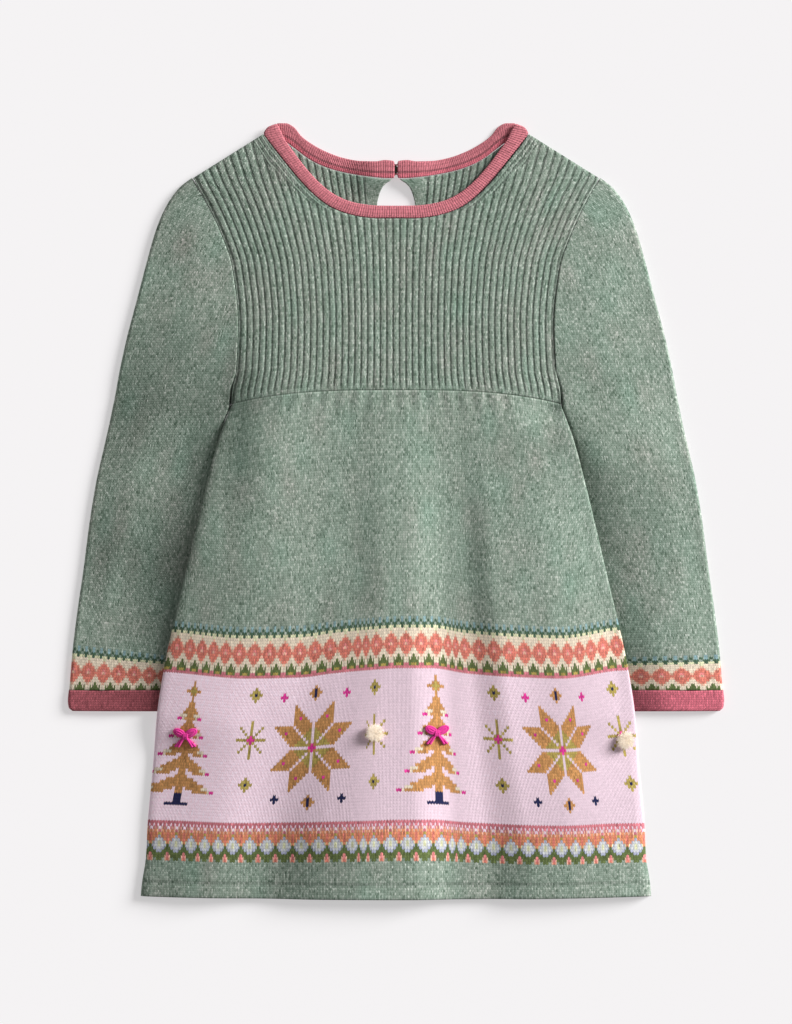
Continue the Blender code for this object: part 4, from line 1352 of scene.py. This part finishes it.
def front_yoke(sizes):
    cloth = Cloth("front_yoke_knit")
    left = side_columns(YOKE_STRIP)
    ribs = rib_columns(YOKE_STRIP, 1.0 - YOKE_STRIP, FRONT_RIBS)
    right = [(1.0 - place, height, RIB_WALES * FRONT_RIBS - wale, lean)
             for place, height, wale, lean in reversed(left)]
    share, height, wale, lean = (np.array(part) for part in zip(*(left + ribs + right)))
    course = sizes.plain_course / MM
    rows = int(YOKE_LENGTH / course)
    step = np.arange(rows, dtype=float)[:, None]
    y = JOIN + course * step + 0.0 * share
    rise = step + sizes.slant * lean * (step > 0)
    for _ in range(4):
        x = yoke_x(share, y)
        y = JOIN + course * rise - (JOIN - yoke_bottom(x)) * (1.0 - smooth(step / BEND_COURSES))
    top_y = yoke_top(share, front_top)
    top = (y < top_y - 0.3 * course).sum(0)
    at = np.arange(len(share))
    x[top, at], y[top, at] = yoke_x(share, top_y), top_y
    index = np.minimum(np.arange(rows)[:, None], top) * len(share) + at
    distance, reach = neck_distance(x, y)
    high = lerp(0.72, np.where(distance < reach, 0.9, height), smooth(step / JOIN_COURSES))
    wall = (RIB_BASE + RIB_HEIGHT * high) * (1.0 - 0.15 * edge_drop(yoke_edge(x, y)))
    points = coords(x, y, yoke_inside(x, y) + wall)
    along = coords(distance / NECK_RIB, (np.abs(x) + 0.8 * y) / course * 0.8)
    shade = spin(plain_letters("G", rows - 1, len(share) - 1), 21)
    spread = np.random.default_rng(22).random(shade.shape[:2])[..., None]
    # painted shade in the valleys between ribs, fading in above the join
    dark = np.where(in_valley(height)[None, :, None], VALLEY_SHADE + VALLEY_SPREAD * spread, 1.0)
    dark = lerp(1.0, dark, smooth((step[:-1] + 0.5) / JOIN_COURSES)[..., None])
    distance, reach = neck_distance(centres(x), centres(y))
    near_neck = (distance < reach)[..., None]
    # painted shade in the grooves of the ribs along the neck
    lines = np.where(distance / NECK_RIB % 1.0 < NECK_LINE, NECK_LINE_SHADE, 1.0)[..., None]
    shade = np.where(near_neck, lines * shade, shade * dark)
    outer = cloth.sheet(points, shade, coords(wale[None, :], step), index)
    chosen = near_neck.reshape(-1)
    cloth.stitches[-1][chosen] = along.reshape(-1, 2)[corners_of(index)][chosen]
    cloth.depths[-1][chosen] = NECK_DEPTH
    share = np.linspace(0.0, 1.0, 41)
    t = np.linspace(0.0, 1.0, 31)[:, None]
    low_y = lerp(yoke_bottom(yoke_x(share, YOKE_LOW)), yoke_top(share, front_top), t)
    low_x = yoke_x(share, low_y)
    # the hidden side takes the ground yarn in painted shade
    painted_shade_colour = yarn("ground") * 0.85
    points = coords(low_x, low_y, yoke_inside(low_x, low_y))
    inner = cloth.sheet(points, painted_shade_colour, coords(share * 110.0, t * 80.0), area=HIDDEN_AREA)
    # the rims at the yoke's edges are in deeper painted shade
    close_wall(cloth, outer, inner, 0.5 * painted_shade_colour)
    return cloth.finish("front_yoke", "green_wool"), plan_area(x, y, index)


# share of the back yoke's length below the keyhole, and the rows there
KEYHOLE_SHARE = 0.7145
KEYHOLE_ROWS = 60


def back_plan(side, place, t):
    """Plan of one half of the back yoke: place up to 1 in the ribs, 2 at the middle."""
    share = np.minimum(place, 1.0) * BACK_RIBBED
    y_top = yoke_top(share, back_top_edge)
    y = lerp(yoke_bottom(yoke_x(share, YOKE_LOW)), y_top, t)
    middle_top = float(back_top_edge(0.0)) - 0.35
    y_middle = lerp(float(yoke_bottom(0.0)), middle_top, t)
    x_middle = np.where(t > KEYHOLE_SHARE, -keyhole_half(y_middle), 0.0)
    blend = np.clip(place - 1.0, 0.0, 1.0)
    curve = back_top_edge(lerp(yoke_x(share, y_top), -float(keyhole_half(middle_top)), blend))
    curve = curve - lerp(y_top, middle_top, blend)
    bent = (curve - 0.2 * blend) * t ** 4 * (blend > 0.0)
    return -side * lerp(yoke_x(share, y), x_middle, blend), lerp(y, y_middle, blend) + bent


def back_yoke():
    cloth = Cloth("back_yoke_knit")
    strip = side_columns(YOKE_STRIP / BACK_RIBBED)
    ribs = rib_columns(YOKE_STRIP / BACK_RIBBED, 1.0, BACK_RIBS_HALF)
    # plain columns from the last rib to the middle, which is at place 2
    middle = [(1.0 + 0.077 * k, 0.62, RIB_WALES * BACK_RIBS_HALF + k, 0.0) for k in range(1, 14)]
    place, height, wale, _ = (np.array(part) for part in zip(*(strip + ribs + middle)))
    place[-1] = 2.0
    t = np.concatenate([np.linspace(0.0, KEYHOLE_SHARE, KEYHOLE_ROWS + 1),
                        np.linspace(KEYHOLE_SHARE, 1.0, 33)[1:]])[:, None]
    places = np.concatenate([np.linspace(0.0, 1.0, 31), np.linspace(1.0, 2.0, 9)[1:]])
    # the hidden sides and rims take the ground yarn in painted shade
    painted_shade_colour = yarn("ground") * 0.75
    area = 0.0
    for side, seed, left in ((-1, 31, 0.0), (1, 32, 0.5)):
        x, y = back_plan(side, place, t)
        points = coords(x, y, BACK_RIB_BASE + BACK_RIB_HEIGHT * height + neck_lift(x, y))
        shade = spin(plain_letters("G", len(t) - 1, len(place) - 1), seed)
        # painted shade in the valleys and over the ribs of the back yoke
        shade = shade * np.where(in_valley(height), VALLEY_SHADE, BACK_RIB_SHADE)[:, None]
        stitch = coords(wale, np.arange(len(t))[:, None])
        # each half of the yoke has its half of the bake map, and its hidden side a strip over it
        upper = cloth.sheet(points, shade, stitch, area=(left, 0.0, left + 0.49, 0.6))
        area += plan_area(x, y, full_index(*x.shape))
        x, y = back_plan(side, places, t[::2])
        points = coords(x, y, neck_lift(x, y) + 0.6 * edge_drop(yoke_edge(x, y), UNDER_ROUND))
        stitch = coords(places * 45.0, t[::2] * 90.0)
        under = cloth.sheet(points, painted_shade_colour, stitch, area=(left, 0.62, left + 0.49, 0.94))
        close_wall(cloth, upper, under, painted_shade_colour, ("top", "bottom", "left"))
        cloth.rim(upper[KEYHOLE_ROWS:, -1], under[KEYHOLE_ROWS // 2:, -1], painted_shade_colour)
    return cloth.finish("back_yoke", "green_wool"), area


# ------------------------------------------------------------------ sleeves and cuffs


class SleeveForm:
    """A flattened tube through a table of sections, by the distance along it."""

    def __init__(self, rows, wall):
        middles = [(0.5 * (row.out_x + row.in_x), 0.5 * (row.out_y + row.in_y)) for row in rows]
        steps = [math.dist(a, b) for a, b in zip(middles, middles[1:])]
        runs = np.insert(np.cumsum(steps), 0, 0.0)
        self.length = float(runs[-1])
        self.wall = wall
        self.column = {key: curve_through(runs, [getattr(row, key) for row in rows])
                       for key in ("out_x", "out_y", "in_x", "in_y", "gap", "puff")}
        self.joined_from = float([run for run, row in zip(runs, rows) if row.joined][0])
        before = [run for run, row in zip(runs, rows) if not row.joined]
        self.open_until = float(before[-1]) if before else -1.0

    def puff(self, run, u):
        """Rise of the upper layer: high towards the body above, low beside the skirt."""
        rise = smooth(u / 0.34) * smooth((0.8 - u) / 0.4)
        cap = 0.85 * smooth(u / 0.6) * (1.0 - 0.4 * smooth((u - 0.6) / 0.4))
        beside = smooth((run - self.open_until + 20.0) / 60.0)
        return self.column["puff"](run) * lerp(cap, rise, beside)

    def joined(self, run):
        if self.open_until < 0.0:
            return np.ones_like(run)
        return smooth((run - self.open_until) / (self.joined_from - self.open_until))

    def ends(self, run):
        """Outer and inner end of a section, and its width."""
        out_x, out_y, in_x, in_y = (self.column[k](run) for k in ("out_x", "out_y", "in_x", "in_y"))
        in_x = np.where(run < self.joined_from, armhole_half(in_y) + 0.1, in_x)
        return out_x, out_y, in_x, in_y, np.hypot(in_x - out_x, in_y - out_y)

    def width(self, run):
        return self.ends(run)[4]

    def point(self, run, offset, side, layer):
        """A point on the outside (layer 1 top, -1 bottom) of the tube."""
        out_x, out_y, in_x, in_y, width = self.ends(run)
        offset = np.minimum(offset, width)
        u = offset / width
        ends = np.minimum(SLEEVE_ROUND, 0.3 * width)
        drop = np.maximum(edge_drop(offset, ends), self.joined(run) * edge_drop(width - offset, ends))
        gap = self.column["gap"](run)
        middle = self.wall + 0.5 * gap
        top = lerp(2.0 * self.wall + gap + self.puff(run, u), middle, drop)
        z = np.where(layer > 0, top, middle * drop)
        return coords(side * lerp(out_x, in_x, u), lerp(out_y, in_y, u), z)

    def lining(self, run, share, side, layer):
        """A point on the inside of the tube, share across from its outer fold."""
        out_x, out_y, in_x, in_y, width = self.ends(run)
        start = np.minimum(self.wall, 0.32 * width)
        stop = width - start * self.joined(run)
        u = lerp(start, stop, share) / width
        gap = self.column["gap"](run)
        closing = smooth(share / 0.1) * lerp(1.0, smooth((1.0 - share) / 0.1), self.joined(run))
        level = np.where(layer > 0, self.wall + gap + self.puff(run, u), self.wall)
        z = lerp(self.wall + 0.5 * gap, level, closing)
        return coords(side * lerp(out_x, in_x, u), lerp(out_y, in_y, u), z)


# stitches are laid this far across a tube from its outer fold, and end at its inner fold
TUBE_REACH = 84.0
# rows of a sleeve's lining along its open part
OPEN_ROWS = 25


def tube_wales(sizes):
    """Stitches round a tube, before they end at its inner fold."""
    return int(TUBE_REACH / (sizes.sleeve_wale / MM)) * 2


def knit_tube(name, form, side, levels, tilt, letters, seed, painted_shade_colour, sizes):
    """Stitches round a flattened tube. levels are distances along it, one for each course."""
    cloth = Cloth(name, sleeve_swell)
    reach = letters.shape[1] // 2
    half_steps = np.arange(-reach, reach + 1)
    layer = np.where(half_steps <= 0, 1.0, -1.0)
    offset = np.tile(np.abs(half_steps) * 0.5 * (sizes.sleeve_wale / MM), (len(levels), 1))
    rows = np.arange(len(levels))
    within = np.minimum(rows, rows[::-1])[:, None] > 0
    lean = by_turns(len(half_steps), -sizes.slant, sizes.slant) * np.gradient(levels)[:, None]
    base = levels[:, None] + lean * within
    run = base
    for _ in range(3):
        run = base + tilt(base, np.clip(offset / form.width(run), 0.0, 1.0))
    run = np.clip(run, 0.0, form.length)
    low, high, index = ended_index(offset < form.width(run) - 0.35)
    edge_run = np.clip(levels + tilt(levels, 1.0), 0.0, form.length)
    for at in (low, high):
        run[rows, at], offset[rows, at] = edge_run, form.width(edge_run)
    points = form.point(run, offset, side, layer)
    relief = sizes.relief / MM
    inward = by_turns(len(half_steps), relief, 0.0) * (offset > 1.0)
    points[..., 2] -= inward * layer * (points[..., 2] > relief)
    outer = cloth.sheet(points, spin(letters, seed), coords(half_steps * 0.5, rows[:, None]), index)
    inner_runs = np.linspace(0.0, form.length, 8)
    if form.open_until >= 0.0:
        inner_runs = np.concatenate([np.linspace(0.0, form.joined_from, OPEN_ROWS),
                                     np.linspace(form.joined_from, form.length, OPEN_ROWS)[1:]])
    inner_runs = inner_runs[:, None]
    across = np.linspace(-1.0, 1.0, 21)
    lining = form.lining(inner_runs, np.abs(across), side, np.where(across <= 0.0, 1.0, -1.0))
    # the lining and rims take the given colour, which is the yarn in painted shade
    inner = cloth.sheet(lining, painted_shade_colour, coords(45.0 * across, inner_runs), area=HIDDEN_AREA)
    for end in (0, -1):
        cloth.rim(outer[end], inner[end], painted_shade_colour)
    if form.open_until >= 0.0:
        last = int((levels <= form.joined_from).sum())
        # the rims along the open part are in deeper painted shade
        for end in (0, -1):
            cloth.rim(outer[:last + 1, end], inner[:OPEN_ROWS, end], 0.45 * painted_shade_colour)
    return cloth, 2.0 * float(np.trapz(form.width(levels), levels)) * MM * MM


# a sleeve's border: height of its courses, stitches of a repeat, its start and how far it slopes,
# and the yarn of the cuff below it: the cuff rose in painted shade on the left, in painted light on the
# right
Wrist = namedtuple("Wrist", "course repeat phase slope yarn")
WRISTS = {-1: Wrist(1.84, 6, 1, 8.0, "E"), 1: Wrist(1.44, 8, 1, 2.0, "Q")}
WRIST_COURSES = 16
# where a cuff starts, and how much stronger the painted shade between its stitches is
CUFF_START = -113.92
CUFF_DEPTH = 1.7


def sleeve(side, name, node, seed, sizes):
    form = SleeveForm(SLEEVE, SLEEVE_WALL)
    wrist = WRISTS[side]
    border = UPPER_BORDER[:WRIST_COURSES]
    deep = wrist.course * WRIST_COURSES
    plain = form.length - deep
    courses = int(round(plain / (sizes.plain_course / MM)))
    levels = np.concatenate([np.linspace(0.0, plain, courses + 1)[:-1],
                             np.linspace(plain, form.length, WRIST_COURSES + 1)])

    def tilt(run, share):
        near = np.clip((form.length - run) / deep, 0.0, 1.0)
        return wrist.slope * share * near * smooth((run - form.length + 200.0) / 130.0)

    wales = tube_wales(sizes)
    letters = np.concatenate([plain_letters("G", courses, 2 * wales),
                              charted(border, wales, wrist.phase, wrist.repeat)])
    # the lining and rims take the ground yarn in painted shade
    painted_shade_colour = yarn("ground") * 0.6
    cloth, area = knit_tube(name, form, side, levels, tilt, letters, seed, painted_shade_colour, sizes)
    return cloth.finish(node, "green_wool"), area


def cuff(side, name, node, seed, sizes):
    top = CUFF[0]._replace(out_y=CUFF_START, in_y=CUFF_START)
    form = SleeveForm([top] + CUFF[1:], CUFF_WALL)
    levels = np.linspace(0.0, form.length, 10)
    letters = plain_letters(WRISTS[side].yarn, len(levels) - 1, 2 * tube_wales(sizes))
    # the lining and rims take the rose yarn in painted shade
    painted_shade_colour = yarn("rose") * 0.8
    cloth, _ = knit_tube(name, form, side, levels, lambda run, share: 0.0 * run, letters, seed, painted_shade_colour,
                         sizes)
    # stronger painted shade between the cuff's stitches
    cloth.depths[0] *= CUFF_DEPTH
    return cloth.finish(node, "rose_wool")


# ------------------------------------------------------------------ neckbands

# heights across a rib of a band, and the more saturated rose of the back bands' rolled edge
BAND_RIB = (0.0, 0.7, 1.0, 0.7)
ROLLED_EDGE = (1.06, 0.86, 0.92)


def front_band_base(x, y):
    middle = smooth((70.0 - np.abs(x)) / 30.0)
    return BACK_RIB_BASE + BACK_RIB_HEIGHT + SEAM + YOKE_ROOM + 0.15 * middle


def knit_band(name, node, rows_and_sides, base, wall, seed, sizes):
    """A band with fine ribs across it, round through its section."""
    cloth = Cloth(name)
    sections = np.array([(side * row.out_x, row.out_y, side * row.in_x, row.in_y)
                         for row, side in rows_and_sides])
    middle = 0.5 * (sections[:, :2] + sections[:, 2:])
    runs = np.insert(np.cumsum(np.linalg.norm(np.diff(middle, axis=0), axis=1)), 0, 0.0)
    pitch = sizes.band_rib / MM
    steps = len(BAND_RIB)
    run = np.linspace(0.0, runs[-1], int(round(runs[-1] / pitch)) * steps + 1)
    out_x, out_y, in_x, in_y = (curve_through(runs, part)(run)[:, None] for part in sections.T)
    rib = np.array(BAND_RIB)[np.arange(len(run)) % steps][:, None]
    end_drop = edge_drop(np.minimum(run, runs[-1] - run)[:, None], BAND_ROUND)
    angle = np.linspace(0.0, 2.0 * math.pi, 23)[None, :]
    rise = np.sin(angle)
    share = 0.5 - 0.5 * np.sign(np.cos(angle)) * np.abs(np.cos(angle)) ** 0.8
    share = 0.5 + (share - 0.5) * (1.0 - 0.25 * end_drop) * (1.0 - 0.025 * (1.0 - rib))
    x, y = lerp(out_x, in_x, share), lerp(out_y, in_y, share)
    top = wall * (0.5 + 0.5 * np.sign(rise) * np.abs(rise) ** 0.5) * (1.0 - 0.22 * end_drop)
    grid = coords(x, y, base(x, y) + top - 0.26 * (1.0 - rib) * (rise > 0.1))
    grid[:, -1] = grid[:, 0]
    shade = spin(plain_letters("R", len(run) - 1, angle.size - 1), seed)
    # painted shade in the grooves between the band's ribs
    shade = shade * (0.72 + 0.44 * 0.5 * (rib[1:] + rib[:-1]))[..., None]
    across = (0.5 * (share[:1, 1:] + share[:1, :-1]))[..., None]
    if node == "neckband_front":
        links = (np.arange(len(run) - 1) // steps % 2 == 0)[:, None, None]
        shade = np.where(links & (across < 0.2), 0.62 * shade, shade)
    else:
        # the back bands' upper part is in painted shade, with a painted shadow line just above the
        # rolled edge
        shade = shade * np.where(across < 0.3, ROLLED_EDGE, 0.9)
        shade = np.where(np.abs(across - 0.36) < 0.06, 0.6 * shade, shade)
    body = cloth.sheet(grid, shade, coords(run[:, None] / pitch, angle * 2.2))
    # the band's ends are closed with the rose in painted shade
    for end in (0, -1):
        cloth.cap(body[end], yarn("rose") * 0.8)
    cloth.finish(node, "rose_wool")


# ------------------------------------------------------------------ trims


def tube_along(points, radius, sides=8, twist=0.0, plies=0, ply_depth=0.0):
    """Rings round a line of points: an array of rings for a yarn, plied where plies is set."""
    ways = np.gradient(points, axis=0)
    ways /= np.linalg.norm(ways, axis=1)[:, None]
    runs = np.insert(np.cumsum(np.linalg.norm(np.diff(points, axis=0), axis=1)), 0, 0.0)
    radii = np.broadcast_to(radius, len(points))
    angles = np.linspace(0.0, 2.0 * math.pi, sides + 1)
    rings = []
    for point, way, run, size in zip(points, ways, runs, radii):
        across = np.cross(way, (0.0, 0.0, 1.0))
        across /= max(np.linalg.norm(across), 1e-6)
        over = np.cross(across, way)
        if plies:
            size = size * (1.0 - ply_depth * np.abs(np.sin(0.5 * plies * (angles + twist * run))))
        around = np.cos(angles)[:, None] * across + np.sin(angles)[:, None] * over
        ring = point + np.broadcast_to(size, len(angles))[:, None] * around
        ring[-1] = ring[0]
        rings.append(ring)
    return np.array(rings)


# how a pompom's strands grow thin from the middle to their tips
STRAND_TAPER = (1.2, 1.1, 0.9, 0.4)


def pompom(trim, seed, sizes):
    """A soft ball of loose strands spread from its middle."""
    rng = np.random.default_rng(seed)
    ground = float(skirt_outside(np.array(trim.x), np.array(trim.y)))
    centre = np.array([trim.x, trim.y + 1.0, ground + 1.6])
    cloth = Cloth(trim.name + "_fluff")
    cream, warm = np.array(srgb(252, 244, 228)), np.array(srgb(246, 222, 214))
    radii = 0.5 * sizes.strand / MM * np.array(STRAND_TAPER)
    t = np.linspace(0.0, 1.0, 4)[:, None]
    stitch = coords(np.arange(4.0)[None, :], np.arange(4.0)[:, None])
    for k in range(sizes.strands):
        way = rng.normal(size=3)
        way /= np.linalg.norm(way)
        if way[2] < -0.25:
            way[2] = -way[2]
        length = trim.size * (0.78 + 0.24 * rng.random())
        drift = rng.normal(size=3) * 0.9
        way[2] *= 0.62
        line = centre + way * length * (0.2 + 0.8 * t) + drift * t * t
        line[:, 2] = np.maximum(line[:, 2], skirt_outside(line[:, 0], line[:, 1]) + 0.25)
        colour = lerp(cream, warm, 0.35 * rng.random()) * (0.9 + 0.12 * rng.random())
        left, low = k % 40 / 40.0, k // 40 % 40 / 40.0
        cloth.sheet(tube_along(line, radii, sides=3), colour, stitch,
                    area=(left, low, left + 0.02, low + 0.02))
    return cloth.finish(trim.name, "cream_wool", made_once("pompom_strands", strands))


def bow_paths():
    """Lines of a yarn bow, in its own plane: two loops, two tails and the wrap of its knot."""
    turn = np.linspace(0.0, 2.0 * math.pi, 30)
    t = np.linspace(0.0, 1.0, 14)
    lines = []
    for side in (-1.0, 1.0):
        for long, wide, lift in ((0.50, 0.27, 0.5), (0.34, 0.10, 0.9)):
            along, across = long * np.cos(turn), wide * np.sin(turn)
            x = side * (0.48 + 0.86 * along - 0.5 * across)
            y = 0.36 + 0.5 * along + 0.86 * across
            lines.append(coords(x, y, lift + 0.25 * np.sin(turn) ** 2))
        for spread, drop, lift in ((0.86, 0.92, 0.35), (0.60, 0.96, 0.75)):
            lines.append(coords(side * spread * t ** 0.85, 0.02 - drop * t, lift + 0.3 * (1.0 - t)))
    wrap = np.linspace(-0.5, 0.5, 12)
    for shift in (-0.12, 0.02, 0.14):
        lines.append(coords(shift + 0.1 * wrap, 0.06 + 0.5 * wrap, 1.0 + 0.6 * np.cos(wrap * math.pi)))
    return lines


def yarn_tie(trim, material):
    """A bow of doubled yarn, sewn on the pale band."""
    cloth = Cloth(trim.name + "_yarn")
    colour = yarn("magenta")
    for k, line in enumerate(bow_paths()):
        x = trim.x + line[:, 0] * trim.size
        y = trim.y + line[:, 1] * trim.size * 0.92
        z = skirt_outside(x, y) + 0.55 + line[:, 2] * 1.1
        rings = tube_along(coords(x, y, z), 0.92, sides=12, twist=1.3, plies=3, ply_depth=0.28)
        rows, columns = rings.shape[:2]
        stitch = coords(np.arange(columns) * 0.3, np.arange(rows)[:, None] * 0.5)
        body = cloth.sheet(rings, colour, stitch, area=(0.08 * k, 0.0, 0.08 * k + 0.07, 0.9))
        for end in (0, -1):
            cloth.cap(body[end], colour)
    return cloth.finish(trim.name, "magenta_wool", material)


# ------------------------------------------------------------------ operators

# half width of the floor, and how much of it the camera sees, in metres
FLOOR_HALF = 4
PICTURE_WIDTH = 0.65536
# the floor's own light is out under the dress, in metres: half width at the middle, how it changes
# towards the neck, the most of it, and half the length, which is shifted towards the hem
UNDER_HALF = 0.121
UNDER_TAPER = -0.25
UNDER_MOST = 0.15
UNDER_LENGTH = 0.21
UNDER_SHIFT = 0.02


def floor_paper(sizes):
    """Pale paper with a light of its own, which is out under the dress."""
    finish = Finish("floor_paper")
    grain = finish.node("TexNoise", {"noise_dimensions": "3D"}, Scale=9.0, Detail=2.0)
    shade = 0.555 + 0.01 * finish.value(grain, "Fac")
    parts = finish.node("SeparateXYZ", Vector=finish.node("TexCoord").outputs["Object"])
    across, along = finish.value(parts, "X"), finish.value(parts, "Y")
    reach = (along * UNDER_TAPER + UNDER_HALF).math("MINIMUM", UNDER_MOST)
    within = (abs(across) - reach).math("LESS_THAN", 0.0)
    under = within * abs(along + UNDER_SHIFT).math("LESS_THAN", UNDER_LENGTH)
    colour = (*yarn("floor"),)
    finish.set(Base_Color=finish.scaled(colour, shade), Roughness=0.9, Specular_IOR_Level=0.0,
               Emission_Color=finish.scaled(colour, 1.0 - under), Emission_Strength=sizes.floor_glow)
    return finish.material


class DRESS_OT_stage(bpy.types.Operator):
    """Lay the pale floor, hang the soft lights and set the camera straight above."""
    bl_idname = "dress.stage"
    bl_label = "Stage"
    bl_options = {"REGISTER", "UNDO"}

    def execute(self, context):
        scene = context.scene
        sizes = scene.dress_sizes
        scene.view_settings.view_transform = "Standard"
        mesh = bpy.data.meshes.new("floor")
        corners = [(x * FLOOR_HALF, y * FLOOR_HALF, 0) for x, y in ((-1, -1), (1, -1), (1, 1), (-1, 1))]
        mesh.from_pydata(corners, [], [range(4)])
        floor = bpy.data.objects.new("floor", mesh)
        scene.collection.objects.link(floor)
        mesh.materials.append(floor_paper(sizes))
        world = scene.world or bpy.data.worlds.new("studio")
        scene.world = world
        world.use_nodes = True
        sky = world.node_tree.nodes["Background"]
        sky.inputs["Color"].default_value = (1.0, 0.995, 0.99, 1.0)
        sky.inputs["Strength"].default_value = sizes.room_light
        lamp = bpy.data.lights.new("soft_key", "SUN")
        lamp.angle = sizes.key_spread
        lamp.energy = sizes.key_light
        key = bpy.data.objects.new("soft_key", lamp)
        rise, turn = sizes.key_rise, sizes.key_turn
        way = Vector((math.cos(rise) * math.cos(turn), math.cos(rise) * math.sin(turn), math.sin(rise)))
        key.location = way * 2.5
        key.rotation_euler = way.to_track_quat("Z", "Y").to_euler()
        scene.collection.objects.link(key)
        data = bpy.data.cameras.new("camera")
        data.sensor_width = 36.0
        data.lens = data.sensor_width * sizes.camera_height / PICTURE_WIDTH
        camera = bpy.data.objects.new("camera", data)
        camera.location = (0.0, 0.0, sizes.camera_height)
        scene.collection.objects.link(camera)
        scene.camera = camera
        return {"FINISHED"}


class DRESS_OT_skirt(bpy.types.Operator):
    """Knit the front and the back of the skirt with their borders and pale band."""
    bl_idname = "dress.skirt"
    bl_label = "Skirt"
    bl_options = {"REGISTER", "UNDO"}

    def execute(self, context):
        sizes = context.scene.dress_sizes
        front, area = front_skirt(sizes)
        back, area = back_skirt()
        return {"FINISHED"}


class DRESS_OT_yokes(bpy.types.Operator):
    """Knit the ribbed front and back yokes, with the keyhole in the back."""
    bl_idname = "dress.yokes"
    bl_label = "Yokes"
    bl_options = {"REGISTER", "UNDO"}

    def execute(self, context):
        sizes = context.scene.dress_sizes
        front, area = front_yoke(sizes)
        back, area = back_yoke()
        return {"FINISHED"}


class DRESS_OT_sleeves(bpy.types.Operator):
    """Knit the sleeves with their borders, and the rose cuffs."""
    bl_idname = "dress.sleeves"
    bl_label = "Sleeves"
    bl_options = {"REGISTER", "UNDO"}

    def execute(self, context):
        sizes = context.scene.dress_sizes
        for side, word, seed in ((-1, "left", 41), (1, "right", 42)):
            band = cuff(side, f"cuff_{word}_knit", f"cuff_{word}", seed + 10, sizes)
            thing, flat = sleeve(side, f"sleeve_{word}_knit", f"sleeve_{word}", seed, sizes)
        return {"FINISHED"}


class DRESS_OT_neckbands(bpy.types.Operator):
    """Knit the rose neckband: the front and the two halves of the back."""
    bl_idname = "dress.neckbands"
    bl_label = "Neckbands"
    bl_options = {"REGISTER", "UNDO"}

    def execute(self, context):
        sizes = context.scene.dress_sizes
        rows = [(row, -1) for row in reversed(FRONT_BAND[1:])] + [(row, 1) for row in FRONT_BAND]
        knit_band("neckband_front_knit", "neckband_front", rows, front_band_base, NECK_BAND_WALL,
                  61, sizes)
        for word, side in (("left", -1), ("right", 1)):
            rows = [(row, side) for row in BACK_BAND]
            knit_band(f"neckband_back_{word}_knit", f"neckband_back_{word}", rows, neck_lift,
                      BACK_BAND_WALL, 63 + side, sizes)
        return {"FINISHED"}


class DRESS_OT_trims(bpy.types.Operator):
    """Make the pompoms and the yarn bows, and give the button and its loop their finishes."""
    bl_idname = "dress.trims"
    bl_label = "Trims"
    bl_options = {"REGISTER", "UNDO"}

    def execute(self, context):
        sizes = context.scene.dress_sizes
        for seed, trim in enumerate(POMPOMS):
            pompom(trim, 71 + seed, sizes)
        magenta = loose_yarn("magenta_yarn", "magenta")
        for trim in YARN_TIES:
            yarn_tie(trim, magenta)
        finish = Finish("button_plastic")
        shade = 0.94 + 0.12 * finish.noise(400.0, 2.0)
        finish.set(Base_Color=finish.scaled((*yarn("bottle"),), shade), Roughness=0.38)
        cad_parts["neck_button"].material_slots[0].material = finish.material
        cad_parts["button_loop"].material_slots[0].material = loose_yarn("rose_yarn", "rose")
        return {"FINISHED"}


class DRESS_PT_sidebar(bpy.types.Panel):
    """Sidebar with the dress's operators."""
    bl_idname = "DRESS_PT_sidebar"
    bl_label = "Sweater Dress"
    bl_space_type = "VIEW_3D"
    bl_region_type = "UI"
    bl_category = "Dress"

    def draw(self, context):
        layout = self.layout
        for operator in OPERATORS:
            layout.operator(operator.bl_idname)
        for group in (context.scene.dress_sizes, context.scene.dress_yarns):
            box = layout.box()
            for name in group.__annotations__:
                box.prop(group, name)


OPERATORS = (
    DRESS_OT_stage, DRESS_OT_neckbands, DRESS_OT_trims, DRESS_OT_sleeves, DRESS_OT_yokes,
    DRESS_OT_skirt,
)


def register():
    for part in (DressYarns, DressSizes) + OPERATORS + (DRESS_PT_sidebar,):
        bpy.utils.register_class(part)
    bpy.types.Scene.dress_yarns = PointerProperty(type=DressYarns)
    bpy.types.Scene.dress_sizes = PointerProperty(type=DressSizes)


def unregister():
    del bpy.types.Scene.dress_sizes
    del bpy.types.Scene.dress_yarns
    for part in ((DRESS_PT_sidebar,) + OPERATORS[::-1] + (DressSizes, DressYarns)):
        bpy.utils.unregister_class(part)


def main():
    register()
    for operator in OPERATORS:
        group, name = operator.bl_idname.split(".")
        getattr(getattr(bpy.ops, group), name)()


if __name__ == "__main__":
    main()
